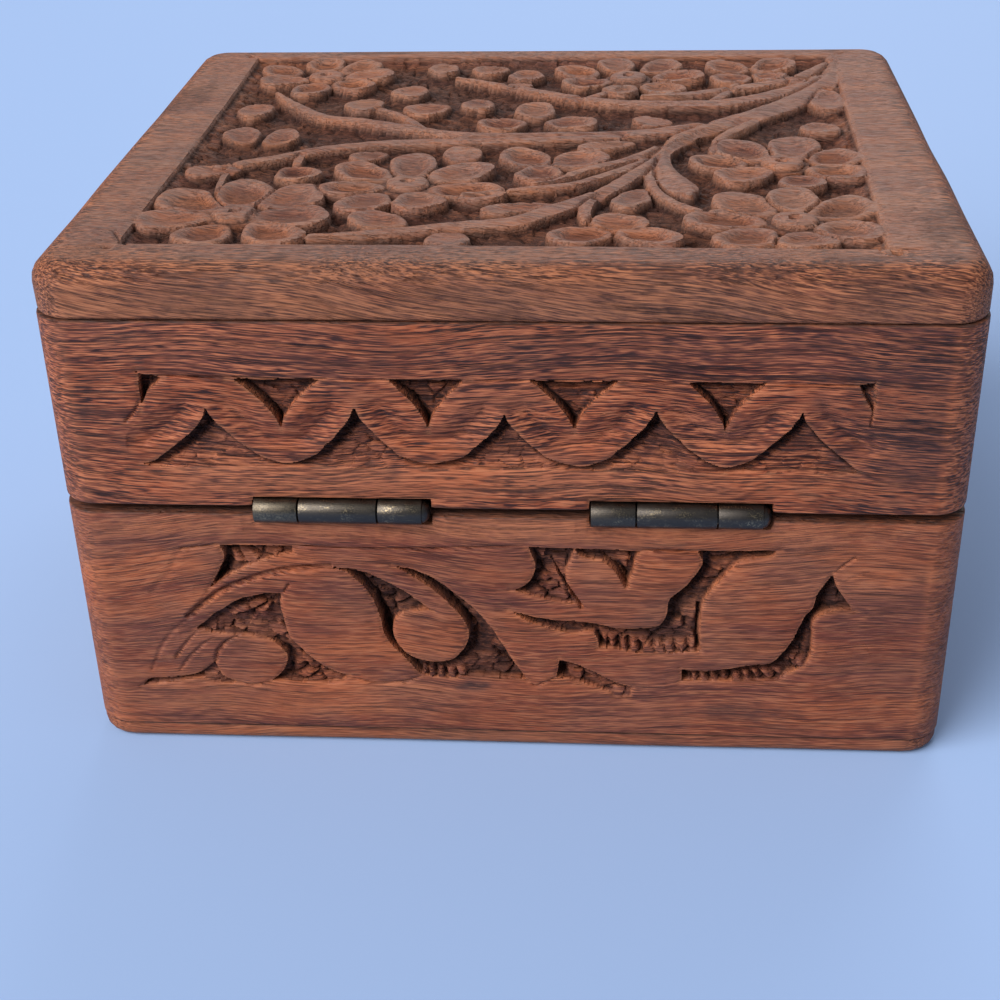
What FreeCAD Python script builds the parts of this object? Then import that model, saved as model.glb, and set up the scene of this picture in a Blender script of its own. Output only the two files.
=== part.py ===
"""A hinged wooden trinket box with carved walls and a carved lid.

The box is two trays of butt-jointed boards that meet at a rim. A flat board
closes the base, a thick carved panel closes the lid, and two small butt hinges
join the back walls. The frame has its origin at the centre of the underside,
+Z up, +X to the right as seen from the front, and the hinges at the back (+Y).
Lengths are in millimetres.
"""

import FreeCAD
import Part
import Sketcher

import math
import os

Vector = FreeCAD.Vector

# Driving dimensions: alias, value in millimetres, meaning.
DIMENSIONS = [
    ("box_width", 102.0, "outside width of the box, left to right"),
    ("box_depth", 89.0, "outside depth of the box, front to back"),
    ("corner_radius", 4.5, "rounding of the upright outer corners"),
    ("wall_thickness", 8.0, "thickness of the eight wall boards"),
    ("bottom_thickness", 2.3, "thickness of the bottom board"),
    ("bottom_edge_radius", 1.2, "rounding of the bottom board's lower edge"),
    ("base_wall_height", 29.6, "height of the base walls above the bottom board"),
    ("lid_wall_height", 22.4, "height of the lid's back wall"),
    ("panel_thickness", 6.2, "thickness of the lid panel"),
    ("panel_edge_radius", 2.8, "rounding of the lid panel's upper edge"),
    ("rim_clearance", 0.1, "clearance between lid and base at the front wall"),
    ("hinge_spacing", 37.8, "distance between the middles of the two hinges"),
    ("hinge_length", 19.0, "length of a hinge along its barrel"),
    ("barrel_radius", 1.5, "outside radius of the hinge barrel"),
    ("axis_inset", 0.35, "depth of the hinge axis inside the back face"),
    ("pin_radius", 1.0, "radius of the hinge pin"),
    ("pin_clearance", 0.04, "radial clearance of the pin in the lid's knuckle"),
    ("pin_head_length", 0.9, "length of the domed end of the pin"),
    ("middle_knuckle_length", 8.8, "length of the lid's knuckle"),
    ("knuckle_gap", 0.15, "gap between two knuckles"),
    ("leaf_thickness", 0.5, "thickness of a hinge leaf"),
    ("leaf_play", 0.1, "gap between the two closed leaves"),
    ("leaf_setback", 0.85, "distance from the back wall's inner face to a leaf"),
    ("leaf_clearance", 0.25, "gap between a leaf and the other leaf's knuckle"),
    ("notch_clearance", 0.35, "gap between the barrel and its notch"),
    ("screw_spacing", 11.0, "distance between the two screws of a leaf"),
    ("screw_head_radius", 1.35, "radius of a countersunk screw head"),
    ("screw_shank_radius", 0.65, "radius of a screw shank"),
    ("screw_length", 5.5, "length of a screw"),
    ("slot_width", 0.35, "width of a screw slot"),
    ("slot_depth", 0.3, "depth of a screw slot"),
    ("field_width", 83.8, "width of the carved field on the lid panel"),
    ("field_length", 77.0, "length of the carved field, front to back"),
    ("field_shift", 0.8, "distance of the field's middle in front of the panel's middle"),
    ("field_depth", 1.5, "depth of the sunk ground on the lid panel"),
    ("relief_drop", 0.45, "distance of the flowers' and branches' tops below the lid panel's top"),
    ("frieze_end_border", 11.5, "plain border at the two ends of a frieze"),
    ("lid_frieze_height", 10.0, "height of the carved frieze on a lid wall"),
    ("lid_frieze_drop", 7.0, "distance from the panel down to a lid frieze"),
    ("base_frieze_height", 19.0, "height of the carved frieze on a base wall"),
    ("base_frieze_drop", 3.8, "distance from the rim down to a base frieze"),
    ("frieze_depth", 1.6, "depth of the sunk ground in a frieze"),
    ("wave_pitch", 16.0, "wanted length of one wave of the lid's ribbon"),
]

SIDES = (("right", 1), ("left", -1))


def make_sheet(doc):
    """Writes the driving dimensions into a spreadsheet and returns it."""
    sheet = doc.addObject("Spreadsheet::Sheet", "dims")
    for row, (alias, value, meaning) in enumerate(DIMENSIONS, start=1):
        sheet.set(f"A{row}", str(value))
        sheet.setAlias(f"A{row}", alias)
        sheet.set(f"B{row}", meaning)
    doc.recompute()
    return sheet


doc = FreeCAD.newDocument("trinket_box")
dims = make_sheet(doc)

# Heights of the main planes, as expressions.
RIM = "(dims.bottom_thickness + dims.base_wall_height)"
HINGE_GAP = "(2 * dims.leaf_thickness + dims.leaf_play)"
LID_BACK = f"({RIM} + {HINGE_GAP})"
SEAM = f"({LID_BACK} + dims.lid_wall_height)"
LID_FRONT = f"({RIM} + dims.rim_clearance)"
AXIS_Z = f"({RIM} + {HINGE_GAP} / 2)"
AXIS_Y = "(dims.box_depth / 2 - dims.axis_inset)"
SIDE_LENGTH = "(dims.box_depth - 2 * dims.wall_thickness)"
# Distances from the hinge axis to a leaf's two long edges.
LEAF_NEAR = "(dims.barrel_radius + dims.leaf_clearance)"
LEAF_FAR = "(dims.wall_thickness - dims.axis_inset - dims.leaf_setback)"
FIELD_FLOOR = f"({SEAM} + dims.panel_thickness - dims.field_depth)"


def size(alias):
    """Value of one driving dimension, in millimetres."""
    return float(dims.get(alias))


# Sketches, pads and pockets of a body.


def origin_plane(body, role):
    """The body's own origin plane of that role."""
    return next(f for f in body.Origin.OriginFeatures if f.Role == role)


def new_sketch(body, name, role, offset=("0", "0", "0")):
    """An empty sketch on an origin plane, shifted in the plane's own axes."""
    sketch = body.newObject("Sketcher::SketchObject", name)
    sketch.AttachmentSupport = [(origin_plane(body, role), "")]
    sketch.MapMode = "FlatFace"
    for axis, expression in zip("xyz", offset):
        sketch.setExpression(f".AttachmentOffset.Base.{axis}", expression)
    return sketch


def close_outline(sketch, count):
    """Joins the sketch's edges end to start, in order."""
    for i in range(count):
        follower = (i + 1) % count
        sketch.addConstraint(Sketcher.Constraint("Coincident", i, 2, follower, 1))


def rectangle(body, name, role, width, height, offset):
    """A rectangle centred on its sketch's origin, sized by two expressions."""
    sketch = new_sketch(body, name, role, offset)
    corners = [Vector(x, y, 0) for x, y in ((-1, -1), (1, -1), (1, 1), (-1, 1))]
    for i, corner in enumerate(corners):
        sketch.addGeometry(Part.LineSegment(corner, corners[(i + 1) % 4]))
    close_outline(sketch, 4)
    for i, kind in enumerate(("Horizontal", "Vertical", "Horizontal", "Vertical")):
        sketch.addConstraint(Sketcher.Constraint(kind, i))
    sketch.addConstraint(Sketcher.Constraint("Symmetric", 0, 1, 1, 2, -1, 1))
    across = sketch.addConstraint(Sketcher.Constraint("DistanceX", 0, 1, 0, 2, 2))
    sketch.renameConstraint(across, "across")
    sketch.setExpression("Constraints.across", width)
    along = sketch.addConstraint(Sketcher.Constraint("DistanceY", 1, 1, 1, 2, 2))
    sketch.renameConstraint(along, "along")
    sketch.setExpression("Constraints.along", height)
    return sketch


def pad(body, sketch, length):
    """Pads a sketch along its normal by an expression."""
    feature = body.newObject("PartDesign::Pad", f"{sketch.Name}_pad")
    feature.Profile = sketch
    feature.setExpression("Length", length)
    doc.recompute()
    return feature


def pocket(body, sketch, depth, against_normal=True):
    """Cuts a sketch into the body and checks that material went away."""
    before = body.Shape.Volume
    feature = body.newObject("PartDesign::Pocket", f"{sketch.Name}_pocket")
    feature.Profile = sketch
    feature.Reversed = not against_normal
    feature.setExpression("Length", depth)
    doc.recompute()
    if not body.Shape.Volume < before:
        raise ValueError(f"{sketch.Name} cuts nothing")
    return feature


def fillet(body, chosen, radius):
    """Rounds the tip's edges for which chosen(edge) is true."""
    tip = body.Tip
    names = [f"Edge{i}" for i, edge in enumerate(tip.Shape.Edges, 1) if chosen(edge)]
    feature = body.newObject("PartDesign::Fillet", f"{body.Name}_{radius}_round")
    feature.Base = (tip, names)
    feature.setExpression("Radius", f"dims.{radius}")
    doc.recompute()
    return feature


def is_upright(edge):
    """True for a straight edge along Z."""
    ends = [v.Point for v in edge.Vertexes]
    return len(ends) == 2 and abs((ends[1] - ends[0]).normalize().z) > 0.99


def at_outer_corner(edge):
    """True for an upright edge at an outer corner of the box."""
    if not is_upright(edge):
        return False
    place = edge.CenterOfMass
    near = 1e-3
    at_side = abs(abs(place.x) - size("box_width") / 2) < near
    return at_side and abs(abs(place.y) - size("box_depth") / 2) < near


def at_height(z):
    """A test for edges that lie wholly at height z."""
    def chosen(edge):
        box = edge.BoundBox
        return abs(box.ZMin - z) < 1e-3 and abs(box.ZMax - z) < 1e-3
    return chosen


# Carved outlines. Each is a list of arcs or lines, given by points (across, up).


def arc(start, middle, end):
    """Edge through three points of a sketch."""
    points = [Vector(x, y, 0) for x, y in (start, middle, end)]
    return Part.ArcOfCircle(*points)


def line(start, end):
    """Straight edge between two points of a sketch."""
    return Part.LineSegment(Vector(*start, 0), Vector(*end, 0))


def curve(points):
    """Smooth edge through points of a sketch."""
    spline = Part.BSplineCurve()
    spline.interpolate([Vector(x, y, 0) for x, y in points])
    return spline


def rosette(place, centre, radius, spread, turn, waist):
    """Outline of an open flower: one arc for each petal, meeting in cusps.

    The spread is the angle that a petal takes up and the turn that of the first
    cusp, both in degrees. The waist is the share of the radius at the cusps.
    """
    def at(share, angle):
        reach = radius * share
        return place(centre[0] + reach * math.cos(angle), centre[1] + reach * math.sin(angle))
    petals = round(360 / spread)
    step = 2 * math.pi / petals
    angles = [math.radians(turn) + i * step for i in range(petals)]
    return [arc(at(waist, a), at(1.0, a + step / 2), at(waist, a + step)) for a in angles]


def oval(place, centre, long, wide, turn):
    """Outline of a petal or small leaf: an ellipse given by its half sizes and its turn in degrees."""
    c, s = math.cos(math.radians(turn)), math.sin(math.radians(turn))
    middle = Vector(*place(*centre), 0)
    ends = [
        Vector(*place(centre[0] + long * c, centre[1] + long * s), 0),
        Vector(*place(centre[0] - wide * s, centre[1] + wide * c), 0),
    ]
    ends.sort(key=middle.distanceToPoint, reverse=True)
    return [Part.Ellipse(*ends, middle)]


def strand(place, points):
    """Outline of a branch: a curve along each side of a path of places and half widths."""
    left, right = [], []
    for i, (x, y, half) in enumerate(points):
        before, after = points[max(i - 1, 0)], points[min(i + 1, len(points) - 1)]
        dx, dy = after[0] - before[0], after[1] - before[1]
        share = half / math.hypot(dx, dy)
        left.append(place(x - dy * share, y + dx * share))
        right.insert(0, place(x + dy * share, y - dx * share))
    return [curve(left), line(left[-1], right[0]), curve(right), line(right[-1], left[0])]


def blade(place, root, tip, bulge_left, bulge_right):
    """Outline of a leaf or stem: two arcs from root to tip, bowed by two amounts."""
    dx, dy = tip[0] - root[0], tip[1] - root[1]
    length = math.hypot(dx, dy)
    middle = ((root[0] + tip[0]) / 2, (root[1] + tip[1]) / 2)
    def bowed(amount):
        return place(middle[0] - dy / length * amount, middle[1] + dx / length * amount)
    return [
        arc(place(*root), bowed(bulge_left), place(*tip)),
        arc(place(*tip), bowed(-bulge_right), place(*root)),
    ]


def border(place, half_width, half_height):
    """Outline of a rectangular field."""
    corners = [(-1, -1), (1, -1), (1, 1), (-1, 1)]
    points = [place(x * half_width, y * half_height) for x, y in corners]
    return [line(points[i], points[(i + 1) % 4]) for i in range(4)]


def draw(sketch, outlines):
    """Adds closed outlines to a sketch."""
    for outline in outlines:
        sketch.addGeometry(outline)


def wave_ground(length, height):
    """Sunk triangles above and below a ribbon that waves along a frieze.

    The ribbon is left standing between two rows of pockets. Each pocket has a
    straight side on the frieze's border and two bowed sides that meet in a point.
    """
    count = max(2, round(length / size("wave_pitch")))
    pitch = length / count
    half = height / 2
    outlines = []
    for i in range(count):
        low = -length / 2 + (i + 0.5) * pitch
        outlines.append(wave_pocket(low, -half, 0.19 * height, 0.22 * pitch))
        if i:
            high = -length / 2 + i * pitch
            outlines.append(wave_pocket(high, half, -0.08 * height, 0.22 * pitch))
    return outlines


def wave_pocket(middle, edge, point, half_width):
    """One pocket beside the ribbon: flat at height edge, pointed at height point."""
    waist = edge + (point - edge) * 0.55
    bow = half_width * 0.30
    left, right, tip = (middle - half_width, edge), (middle + half_width, edge), (middle, point)
    return [
        line(left, right),
        arc(right, (middle + bow, waist), tip),
        arc(tip, (middle - bow, waist), left),
    ]


# The leaf scroll of a base frieze, drawn on a field 80 wide and 19 high:
# root, tip, bulge to the left of that way, bulge to the right.
SCROLL_FIELD = (80.0, 19.0)
SCROLL_BLADES = [
    ((-24.0, 7.4), (-14.0, -7.8), 3.8, 4.8),
    ((-37.5, -5.5), (-25.5, 7.8), 3.2, -1.6),
    ((-34.8, -5.6), (-28.0, -5.6), 3.2, 3.0),
    ((-20.5, 8.5), (3.0, 6.4), -0.6, 3.6),
    ((-11.0, -5.2), (-5.6, 2.0), 3.0, 3.2),
    ((-3.0, 1.2), (2.6, -8.4), 1.8, -0.4),
    ((3.6, 0.0), (17.5, -7.4), -0.6, 3.2),
    ((13.8, 8.4), (15.0, -1.6), 3.4, 5.6),
    ((31.0, 8.4), (21.0, -6.2), 4.8, 5.4),
    ((38.4, 8.2), (37.2, -8.2), 1.0, 2.4),
]

# The flowering branch of the lid, drawn on a field 83.8 wide and 77 long.
BRANCH_FIELD = (83.8, 77.0)
# Flowers: centre, radius, spread of a petal, turn and waist.
BRANCH_FLOWERS = [
    ((31.4, 27.7), 10.5, 51.4, 45, 0.72),
    ((12.9, 17.3), 10.4, 51.4, 35, 0.72),
    ((-31.3, 29.6), 9.8, 51.4, 27, 0.74),
    ((-31.5, 9.8), 9.7, 51.4, 23, 0.74),
    ((30.0, -29.2), 9.5, 51.4, 1, 0.72),
    ((-13.0, -28.4), 9.9, 51.4, 2, 0.72),
    ((-30.3, -30.8), 7.0, 90, 0, 0.5),
    ((-1.2, -8.1), 7.2, 120, -24, 0.4),
    ((-3.4, 10.1), 7.1, 120, 20, 0.45),
]
# Leaves, buds and single petals: centre, half length, half width and turn.
BRANCH_LEAVES = [
    ((26.9, 13.2), 3.1, 2.7, 120),
    ((37.4, 12.3), 3.4, 1.9, 20),
    ((14.8, 29.5), 3.5, 2.5, 160),
    ((6.4, 35.4), 2.7, 2.4, 90),
    ((-0.8, 26.4), 5.0, 1.9, 10),
    ((-13.6, 22.2), 3.8, 2.0, 72),
    ((-8.0, 34.1), 3.6, 2.4, 157),
    ((-15.2, 34.7), 3.8, 2.3, 30),
    ((-12.0, 30.3), 3.1, 2.2, 10),
    ((7.4, 6.4), 2.5, 2.4, 90),
    ((-39.3, -17.4), 5.6, 2.4, 88),
    ((-37.4, -4.7), 2.8, 2.5, 90),
    ((-16.2, -7.4), 2.6, 2.0, 0),
    ((17.0, -22.0), 3.2, 2.5, 80),
    ((13.6, -33.6), 3.4, 2.2, 100),
    ((6.6, -32.8), 2.9, 2.5, 60),
    ((1.4, -30.0), 3.4, 2.4, 90),
    ((22.5, -15.6), 3.3, 2.6, 80),
    ((13.8, -13.4), 3.4, 2.7, 50),
    ((7.2, -15.6), 3.0, 2.2, 100),
    ((37.0, -13.2), 3.6, 2.3, 85),
    ((36.5, -1.6), 2.9, 2.3, 110),
    ((31.4, -0.8), 3.0, 2.1, 70),
]
# Branches: places and half widths along each path.
BRANCH_STEMS = [
    [(-42.0, -33.0, 2.0), (-39.4, -23.8, 2.9), (-34.6, -15.4, 3.5), (-28.5, -8.6, 3.3), (-22.8, -2.4, 2.7),
     (-16.4, 8.0, 2.2), (-8.6, 21.8, 1.8), (4.0, 30.9, 1.3), (12.0, 32.8, 1.0)],
    [(-37.0, -24.8, 1.5), (-29.0, -17.6, 1.7), (-20.0, -15.1, 1.5), (-11.5, -15.4, 1.3), (2.0, -20.5, 0.8)],
    [(-28.0, -9.4, 1.9), (-19.5, -3.8, 1.9), (-3.0, -0.3, 1.5), (14.0, -4.2, 1.2), (27.5, -9.6, 0.9)],
    [(-4.0, 0.4, 1.2), (16.0, 1.4, 1.1), (24.0, 3.7, 1.1), (31.0, 8.0, 0.9)],
    [(-18.0, 6.8, 2.0), (-17.9, 11.8, 2.0), (-18.6, 16.8, 1.6), (-19.6, 20.8, 0.5)],
]


def fitted(nominal, width, height):
    """A function that carries a point of a nominal field onto one of that size."""
    across, up = width / nominal[0], height / nominal[1]
    return lambda x, y: (x * across, y * up)


def scroll_ground(length, height):
    """Sunk ground of a base frieze, with the scroll's leaves left standing.

    A negative length turns the scroll left for right.
    """
    place = fitted(SCROLL_FIELD, length, height)
    half = (SCROLL_FIELD[0] / 2, SCROLL_FIELD[1] / 2)
    blades = [blade(place, *shape) for shape in SCROLL_BLADES]
    return [border(place, *half)] + blades


# Wall boards. The front and back boards run the full width, and the side
# boards fit between them.


def carve_frieze(body, facing, ground, middle_height):
    """Cuts a frieze's sunk ground into the outer face that looks along facing."""
    along_x = facing in ("front", "back")
    role = "XZ_Plane" if along_x else "YZ_Plane"
    outward = {"front": 1, "back": -1, "right": 1, "left": -1}[facing]
    across = "dims.box_depth" if along_x else "dims.box_width"
    offset = ("0", middle_height, f"{outward} * {across} / 2")
    sketch = new_sketch(body, f"{body.Name}_frieze", role, offset)
    draw(sketch, ground)
    pocket(body, sketch, "dims.frieze_depth", against_normal=outward > 0)


def frieze_length(facing):
    """Length of the frieze on the wall that looks that way."""
    whole = size("box_width") if facing in ("front", "back") else size("box_depth")
    return whole - 2 * size("frieze_end_border")


def wall(name, facing, floor, height):
    """A plain wall board that stands on height floor, with its outer corners rounded."""
    body = doc.addObject("PartDesign::Body", name)
    if facing in ("front", "back"):
        sign = 1 if facing == "back" else -1
        middle = ("0", f"{sign} * (dims.box_depth - dims.wall_thickness) / 2", floor)
        plan = rectangle(body, f"{name}_plan", "XY_Plane", "dims.box_width", "dims.wall_thickness", middle)
    else:
        sign = 1 if facing == "right" else -1
        middle = (f"{sign} * (dims.box_width - dims.wall_thickness) / 2", "0", floor)
        plan = rectangle(body, f"{name}_plan", "XY_Plane", "dims.wall_thickness", SIDE_LENGTH, middle)
    pad(body, plan, height)
    if facing in ("front", "back"):
        fillet(body, at_outer_corner, "corner_radius")
    return body


def make_base_wall(facing):
    """One carved wall of the base. Seen from outside, each scroll reads the same way."""
    body = wall(f"base_{facing}_wall", facing, "dims.bottom_thickness", "dims.base_wall_height")
    middle = f"{RIM} - dims.base_frieze_drop - dims.base_frieze_height / 2"
    reading = -1 if facing in ("back", "left") else 1
    ground = scroll_ground(reading * frieze_length(facing), size("base_frieze_height"))
    carve_frieze(body, facing, ground, middle)
    return body


def make_lid_wall(facing):
    """One carved wall of the lid. The side walls' lower edges slope from the hinge gap to the front."""
    if facing == "back":
        body = wall("lid_back_wall", facing, LID_BACK, "dims.lid_wall_height")
    else:
        body = wall(f"lid_{facing}_wall", facing, LID_FRONT, f"{SEAM} - {LID_FRONT}")
    middle = f"{SEAM} - dims.lid_frieze_drop - dims.lid_frieze_height / 2"
    ground = wave_ground(frieze_length(facing), size("lid_frieze_height"))
    carve_frieze(body, facing, ground, middle)
    if facing in ("left", "right"):
        slope_rim(body)
    return body


def slope_rim(body):
    """Planes a side wall's lower edge from the front rim up to the hinge gap at the back."""
    sketch = new_sketch(body, f"{body.Name}_slope", "YZ_Plane", ("0", LID_FRONT, "dims.box_width / 2"))
    half = (size("box_depth") - 2 * size("wall_thickness")) / 2
    rise = 2 * size("leaf_thickness") + size("leaf_play") - size("rim_clearance")
    corners = [(-half, 0.0), (half, 0.0), (half, rise)]
    draw(sketch, [[line(corners[i], corners[(i + 1) % 3]) for i in range(3)]])
    pocket(body, sketch, "dims.box_width")


def cut_hinge_notches(body, upward):
    """Cuts the two notches that take the hinge barrels into a back wall's rim."""
    sign = 1 if upward else -1
    reach = "(dims.barrel_radius + dims.notch_clearance)"
    length = "dims.hinge_length + dims.pin_head_length + 2 * dims.notch_clearance"
    depth = f"{reach} + dims.axis_inset"
    for side, hand in SIDES:
        across = f"{hand} * dims.hinge_spacing / 2 - dims.pin_head_length / 2"
        offset = (across, f"dims.box_depth / 2 - ({depth}) / 2", AXIS_Z)
        sketch = rectangle(body, f"{body.Name}_{side}_notch", "XY_Plane", length, depth, offset)
        pocket(body, sketch, reach, against_normal=sign < 0)


def make_bottom_board():
    """The thin board that closes the base, rounded at its lower edge."""
    body = doc.addObject("PartDesign::Body", "base_bottom_board")
    plan = rectangle(body, "bottom_plan", "XY_Plane", "dims.box_width", "dims.box_depth", ("0", "0", "0"))
    pad(body, plan, "dims.bottom_thickness")
    fillet(body, at_outer_corner, "corner_radius")
    fillet(body, at_height(0.0), "bottom_edge_radius")
    return body


# Part primitives placed by expressions.


def place(obj, x, y, z):
    """Moves a primitive to a point given by three expressions."""
    for axis, expression in zip("xyz", (x, y, z)):
        obj.setExpression(f".Placement.Base.{axis}", expression)
    return obj


def block(name, lengths, corner):
    """A box from its lowest corner, both given as expressions."""
    obj = doc.addObject("Part::Box", name)
    for side, expression in zip(("Length", "Width", "Height"), lengths):
        obj.setExpression(side, expression)
    return place(obj, *corner)


def rod(name, radius, length, start, along=Vector(1, 0, 0)):
    """A cylinder that runs from start along an axis."""
    obj = doc.addObject("Part::Cylinder", name)
    obj.Placement.Rotation = FreeCAD.Rotation(Vector(0, 0, 1), along)
    obj.setExpression("Radius", radius)
    obj.setExpression("Height", length)
    return place(obj, *start)


def cone(name, wide, narrow, length, start, along):
    """A cone that narrows from start along an axis."""
    obj = doc.addObject("Part::Cone", name)
    obj.Placement.Rotation = FreeCAD.Rotation(Vector(0, 0, 1), along)
    obj.setExpression("Radius1", wide)
    obj.setExpression("Radius2", narrow)
    obj.setExpression("Height", length)
    return place(obj, *start)


def joined(name, pieces):
    """One solid or group fused from several pieces."""
    obj = doc.addObject("Part::MultiFuse", name)
    obj.Shapes = pieces
    return obj


def cut(name, base, tool):
    """What is left of base without tool."""
    obj = doc.addObject("Part::Cut", name)
    obj.Base = base
    obj.Tool = tool
    return obj


# The lid panel.


def raised(name, outlines):
    """Prisms on the carved field's ground, as high as its motifs are left standing."""
    sketch = doc.addObject("Sketcher::SketchObject", f"{name}_outlines")
    draw(sketch, outlines)
    prism = doc.addObject("Part::Extrusion", name)
    prism.Base = place(sketch, "0", "-dims.field_shift", FIELD_FLOOR)
    prism.DirMode = "Normal"
    prism.Solid = True
    prism.setExpression("LengthFwd", "dims.field_depth - dims.relief_drop")
    return prism


def make_motifs():
    """The flowers, leaves and branches that are left standing in the lid's field."""
    fit = fitted(BRANCH_FIELD, size("field_width"), size("field_length"))
    prisms = [
        raised("panel_flowers", [rosette(fit, *shape) for shape in BRANCH_FLOWERS]),
        raised("panel_leaves", [oval(fit, *shape) for shape in BRANCH_LEAVES]),
    ]
    for i, path in enumerate(BRANCH_STEMS):
        prisms.append(raised(f"panel_stem_{i}", [strand(fit, path)]))
    return joined("panel_motifs", prisms)


def make_lid_panel():
    """The thick board on top of the lid, with a rounded edge and a carved field."""
    board = doc.addObject("PartDesign::Body", "lid_panel_board")
    plan = rectangle(board, "panel_plan", "XY_Plane", "dims.box_width", "dims.box_depth", ("0", "0", SEAM))
    pad(board, plan, "dims.panel_thickness")
    fillet(board, at_outer_corner, "corner_radius")
    top = board.Shape.BoundBox.ZMax
    fillet(board, at_height(top), "panel_edge_radius")
    field = block(
        "panel_field",
        ("dims.field_width", "dims.field_length", "2 * dims.field_depth"),
        ("-dims.field_width / 2", "-dims.field_length / 2 - dims.field_shift", FIELD_FLOOR),
    )
    ground = cut("panel_ground", field, make_motifs())
    return cut("lid_panel", board, ground)


# Hinges. Each has a base leaf with the two outer knuckles, a lid leaf with the
# middle knuckle, a headed pin, and two screws in each leaf.


def hinge_start(hand):
    """Expression for the end of a hinge's barrel nearest -X."""
    return f"({hand} * dims.hinge_spacing / 2 - dims.hinge_length / 2)"


def make_pin(side, hand):
    """The pin through the three knuckles, with a domed end that stands out at -X."""
    start = hinge_start(hand)
    shank = rod(f"{side}_pin_shank", "dims.pin_radius", "dims.hinge_length", (start, AXIS_Y, AXIS_Z))
    dome = cone(
        f"{side}_pin_dome",
        "dims.barrel_radius * 0.9",
        "dims.barrel_radius * 0.6",
        "dims.pin_head_length",
        (start, AXIS_Y, AXIS_Z),
        Vector(-1, 0, 0),
    )
    return joined(f"{side}_hinge_pin", [shank, dome])


def make_screws(side, hand, member, down):
    """The two countersunk screws of one leaf, with slotted heads flush in the leaf."""
    sign = -1 if down else 1
    way = Vector(0, 0, sign)
    face = f"({AXIS_Z} + {sign} * dims.leaf_play / 2)"
    taper = "(dims.screw_head_radius - dims.screw_shank_radius)"
    screws = []
    for end in (-1, 1):
        label = f"{side}_{member}_screw_{'outer' if end * hand > 0 else 'inner'}"
        x = f"({hand} * dims.hinge_spacing / 2 + {end} * dims.screw_spacing / 2)"
        y = f"({AXIS_Y} - ({LEAF_NEAR} + {LEAF_FAR}) / 2)"
        head = cone(f"{label}_head", "dims.screw_head_radius", "dims.screw_shank_radius", taper, (x, y, face), way)
        shank = rod(f"{label}_shank", "dims.screw_shank_radius", "dims.screw_length", (x, y, face), way)
        slot = block(
            f"{label}_slot",
            ("2 * dims.screw_head_radius", "dims.slot_width", "2 * dims.slot_depth"),
            (f"{x} - dims.screw_head_radius", f"{y} - dims.slot_width / 2", f"{face} - dims.slot_depth"),
        )
        whole = joined(f"{label}_blank", [head, shank])
        screws.append((whole, cut(label, whole, slot)))
    blanks = joined(f"{side}_{member}_screw_holes", [blank for blank, _ in screws])
    group = doc.addObject("Part::Compound", f"{side}_hinge_{member}_screws")
    group.Links = [screw for _, screw in screws]
    return group, blanks


def make_leaf(side, hand, member, screw_holes):
    """One leaf: a flat plate on the rim with its knuckles rolled round the pin."""
    is_base = member == "base"
    stem = f"{side}_{member}"
    start = hinge_start(hand)
    outer = "((dims.hinge_length - dims.middle_knuckle_length) / 2 - dims.knuckle_gap)"
    middle_start = f"({start} + (dims.hinge_length - dims.middle_knuckle_length) / 2)"
    last_start = f"({start} + dims.hinge_length - {outer})"
    if is_base:
        spans = [(start, outer), (last_start, outer)]
        floor = RIM
    else:
        spans = [(middle_start, "dims.middle_knuckle_length")]
        floor = f"({LID_BACK} - dims.leaf_thickness)"
    plate = block(
        f"{stem}_plate",
        ("dims.hinge_length", f"{LEAF_FAR} - {LEAF_NEAR}", "dims.leaf_thickness"),
        (start, f"{AXIS_Y} - {LEAF_FAR}", floor),
    )
    pieces = [plate]
    for i, (at, length) in enumerate(spans):
        barrel = rod(f"{stem}_knuckle_{i}", "dims.barrel_radius", length, (at, AXIS_Y, AXIS_Z))
        tab = block(
            f"{stem}_tab_{i}",
            (length, LEAF_NEAR, "dims.leaf_thickness"),
            (at, f"{AXIS_Y} - {LEAF_NEAR}", floor),
        )
        pieces += [barrel, tab]
    solid = joined(f"{stem}_leaf_blank", pieces)
    bore_radius = "dims.pin_radius" if is_base else "dims.pin_radius + dims.pin_clearance"
    bore = rod(f"{stem}_bore", bore_radius, "dims.hinge_length", (start, AXIS_Y, AXIS_Z))
    bored = cut(f"{stem}_leaf_bored", solid, bore)
    return cut(f"{side}_hinge_{member}_leaf", bored, screw_holes)


def build():
    """Builds every piece and returns them in order, each labelled with its node name."""
    pieces = [make_bottom_board()]
    walls = {}
    for facing in ("front", "back", "left", "right"):
        walls["base", facing] = make_base_wall(facing)
        walls["lid", facing] = make_lid_wall(facing)
    cut_hinge_notches(walls["base", "back"], upward=False)
    cut_hinge_notches(walls["lid", "back"], upward=True)
    holes = {"base": [], "lid": []}
    for side, hand in SIDES:
        pieces.append(make_pin(side, hand))
        for member in ("base", "lid"):
            screws, blanks = make_screws(side, hand, member, down=member == "base")
            pieces += [screws, make_leaf(side, hand, member, blanks)]
            holes[member].append(blanks)
    for member in ("base", "lid"):
        board = walls[member, "back"]
        board.Label = f"{member}_back_board"
        drilled = cut(f"{member}_back_drilled", board, joined(f"{member}_pilot_holes", holes[member]))
        drilled.Label = f"{member}_back_wall"
        walls[member, "back"] = drilled
    pieces += list(walls.values())
    pieces.append(make_lid_panel())
    doc.recompute()
    return pieces


def check(pieces):
    """Stops if any object failed or any piece isn't a valid solid."""
    for obj in doc.Objects:
        if "Invalid" in obj.State or "Error" in obj.State:
            raise ValueError(f"{obj.Name} failed: {obj.State}")
    for piece in pieces:
        shape = piece.Shape
        if shape.isNull() or not shape.isValid() or not shape.Solids:
            raise ValueError(f"{piece.Label} has no valid solid")


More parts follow.
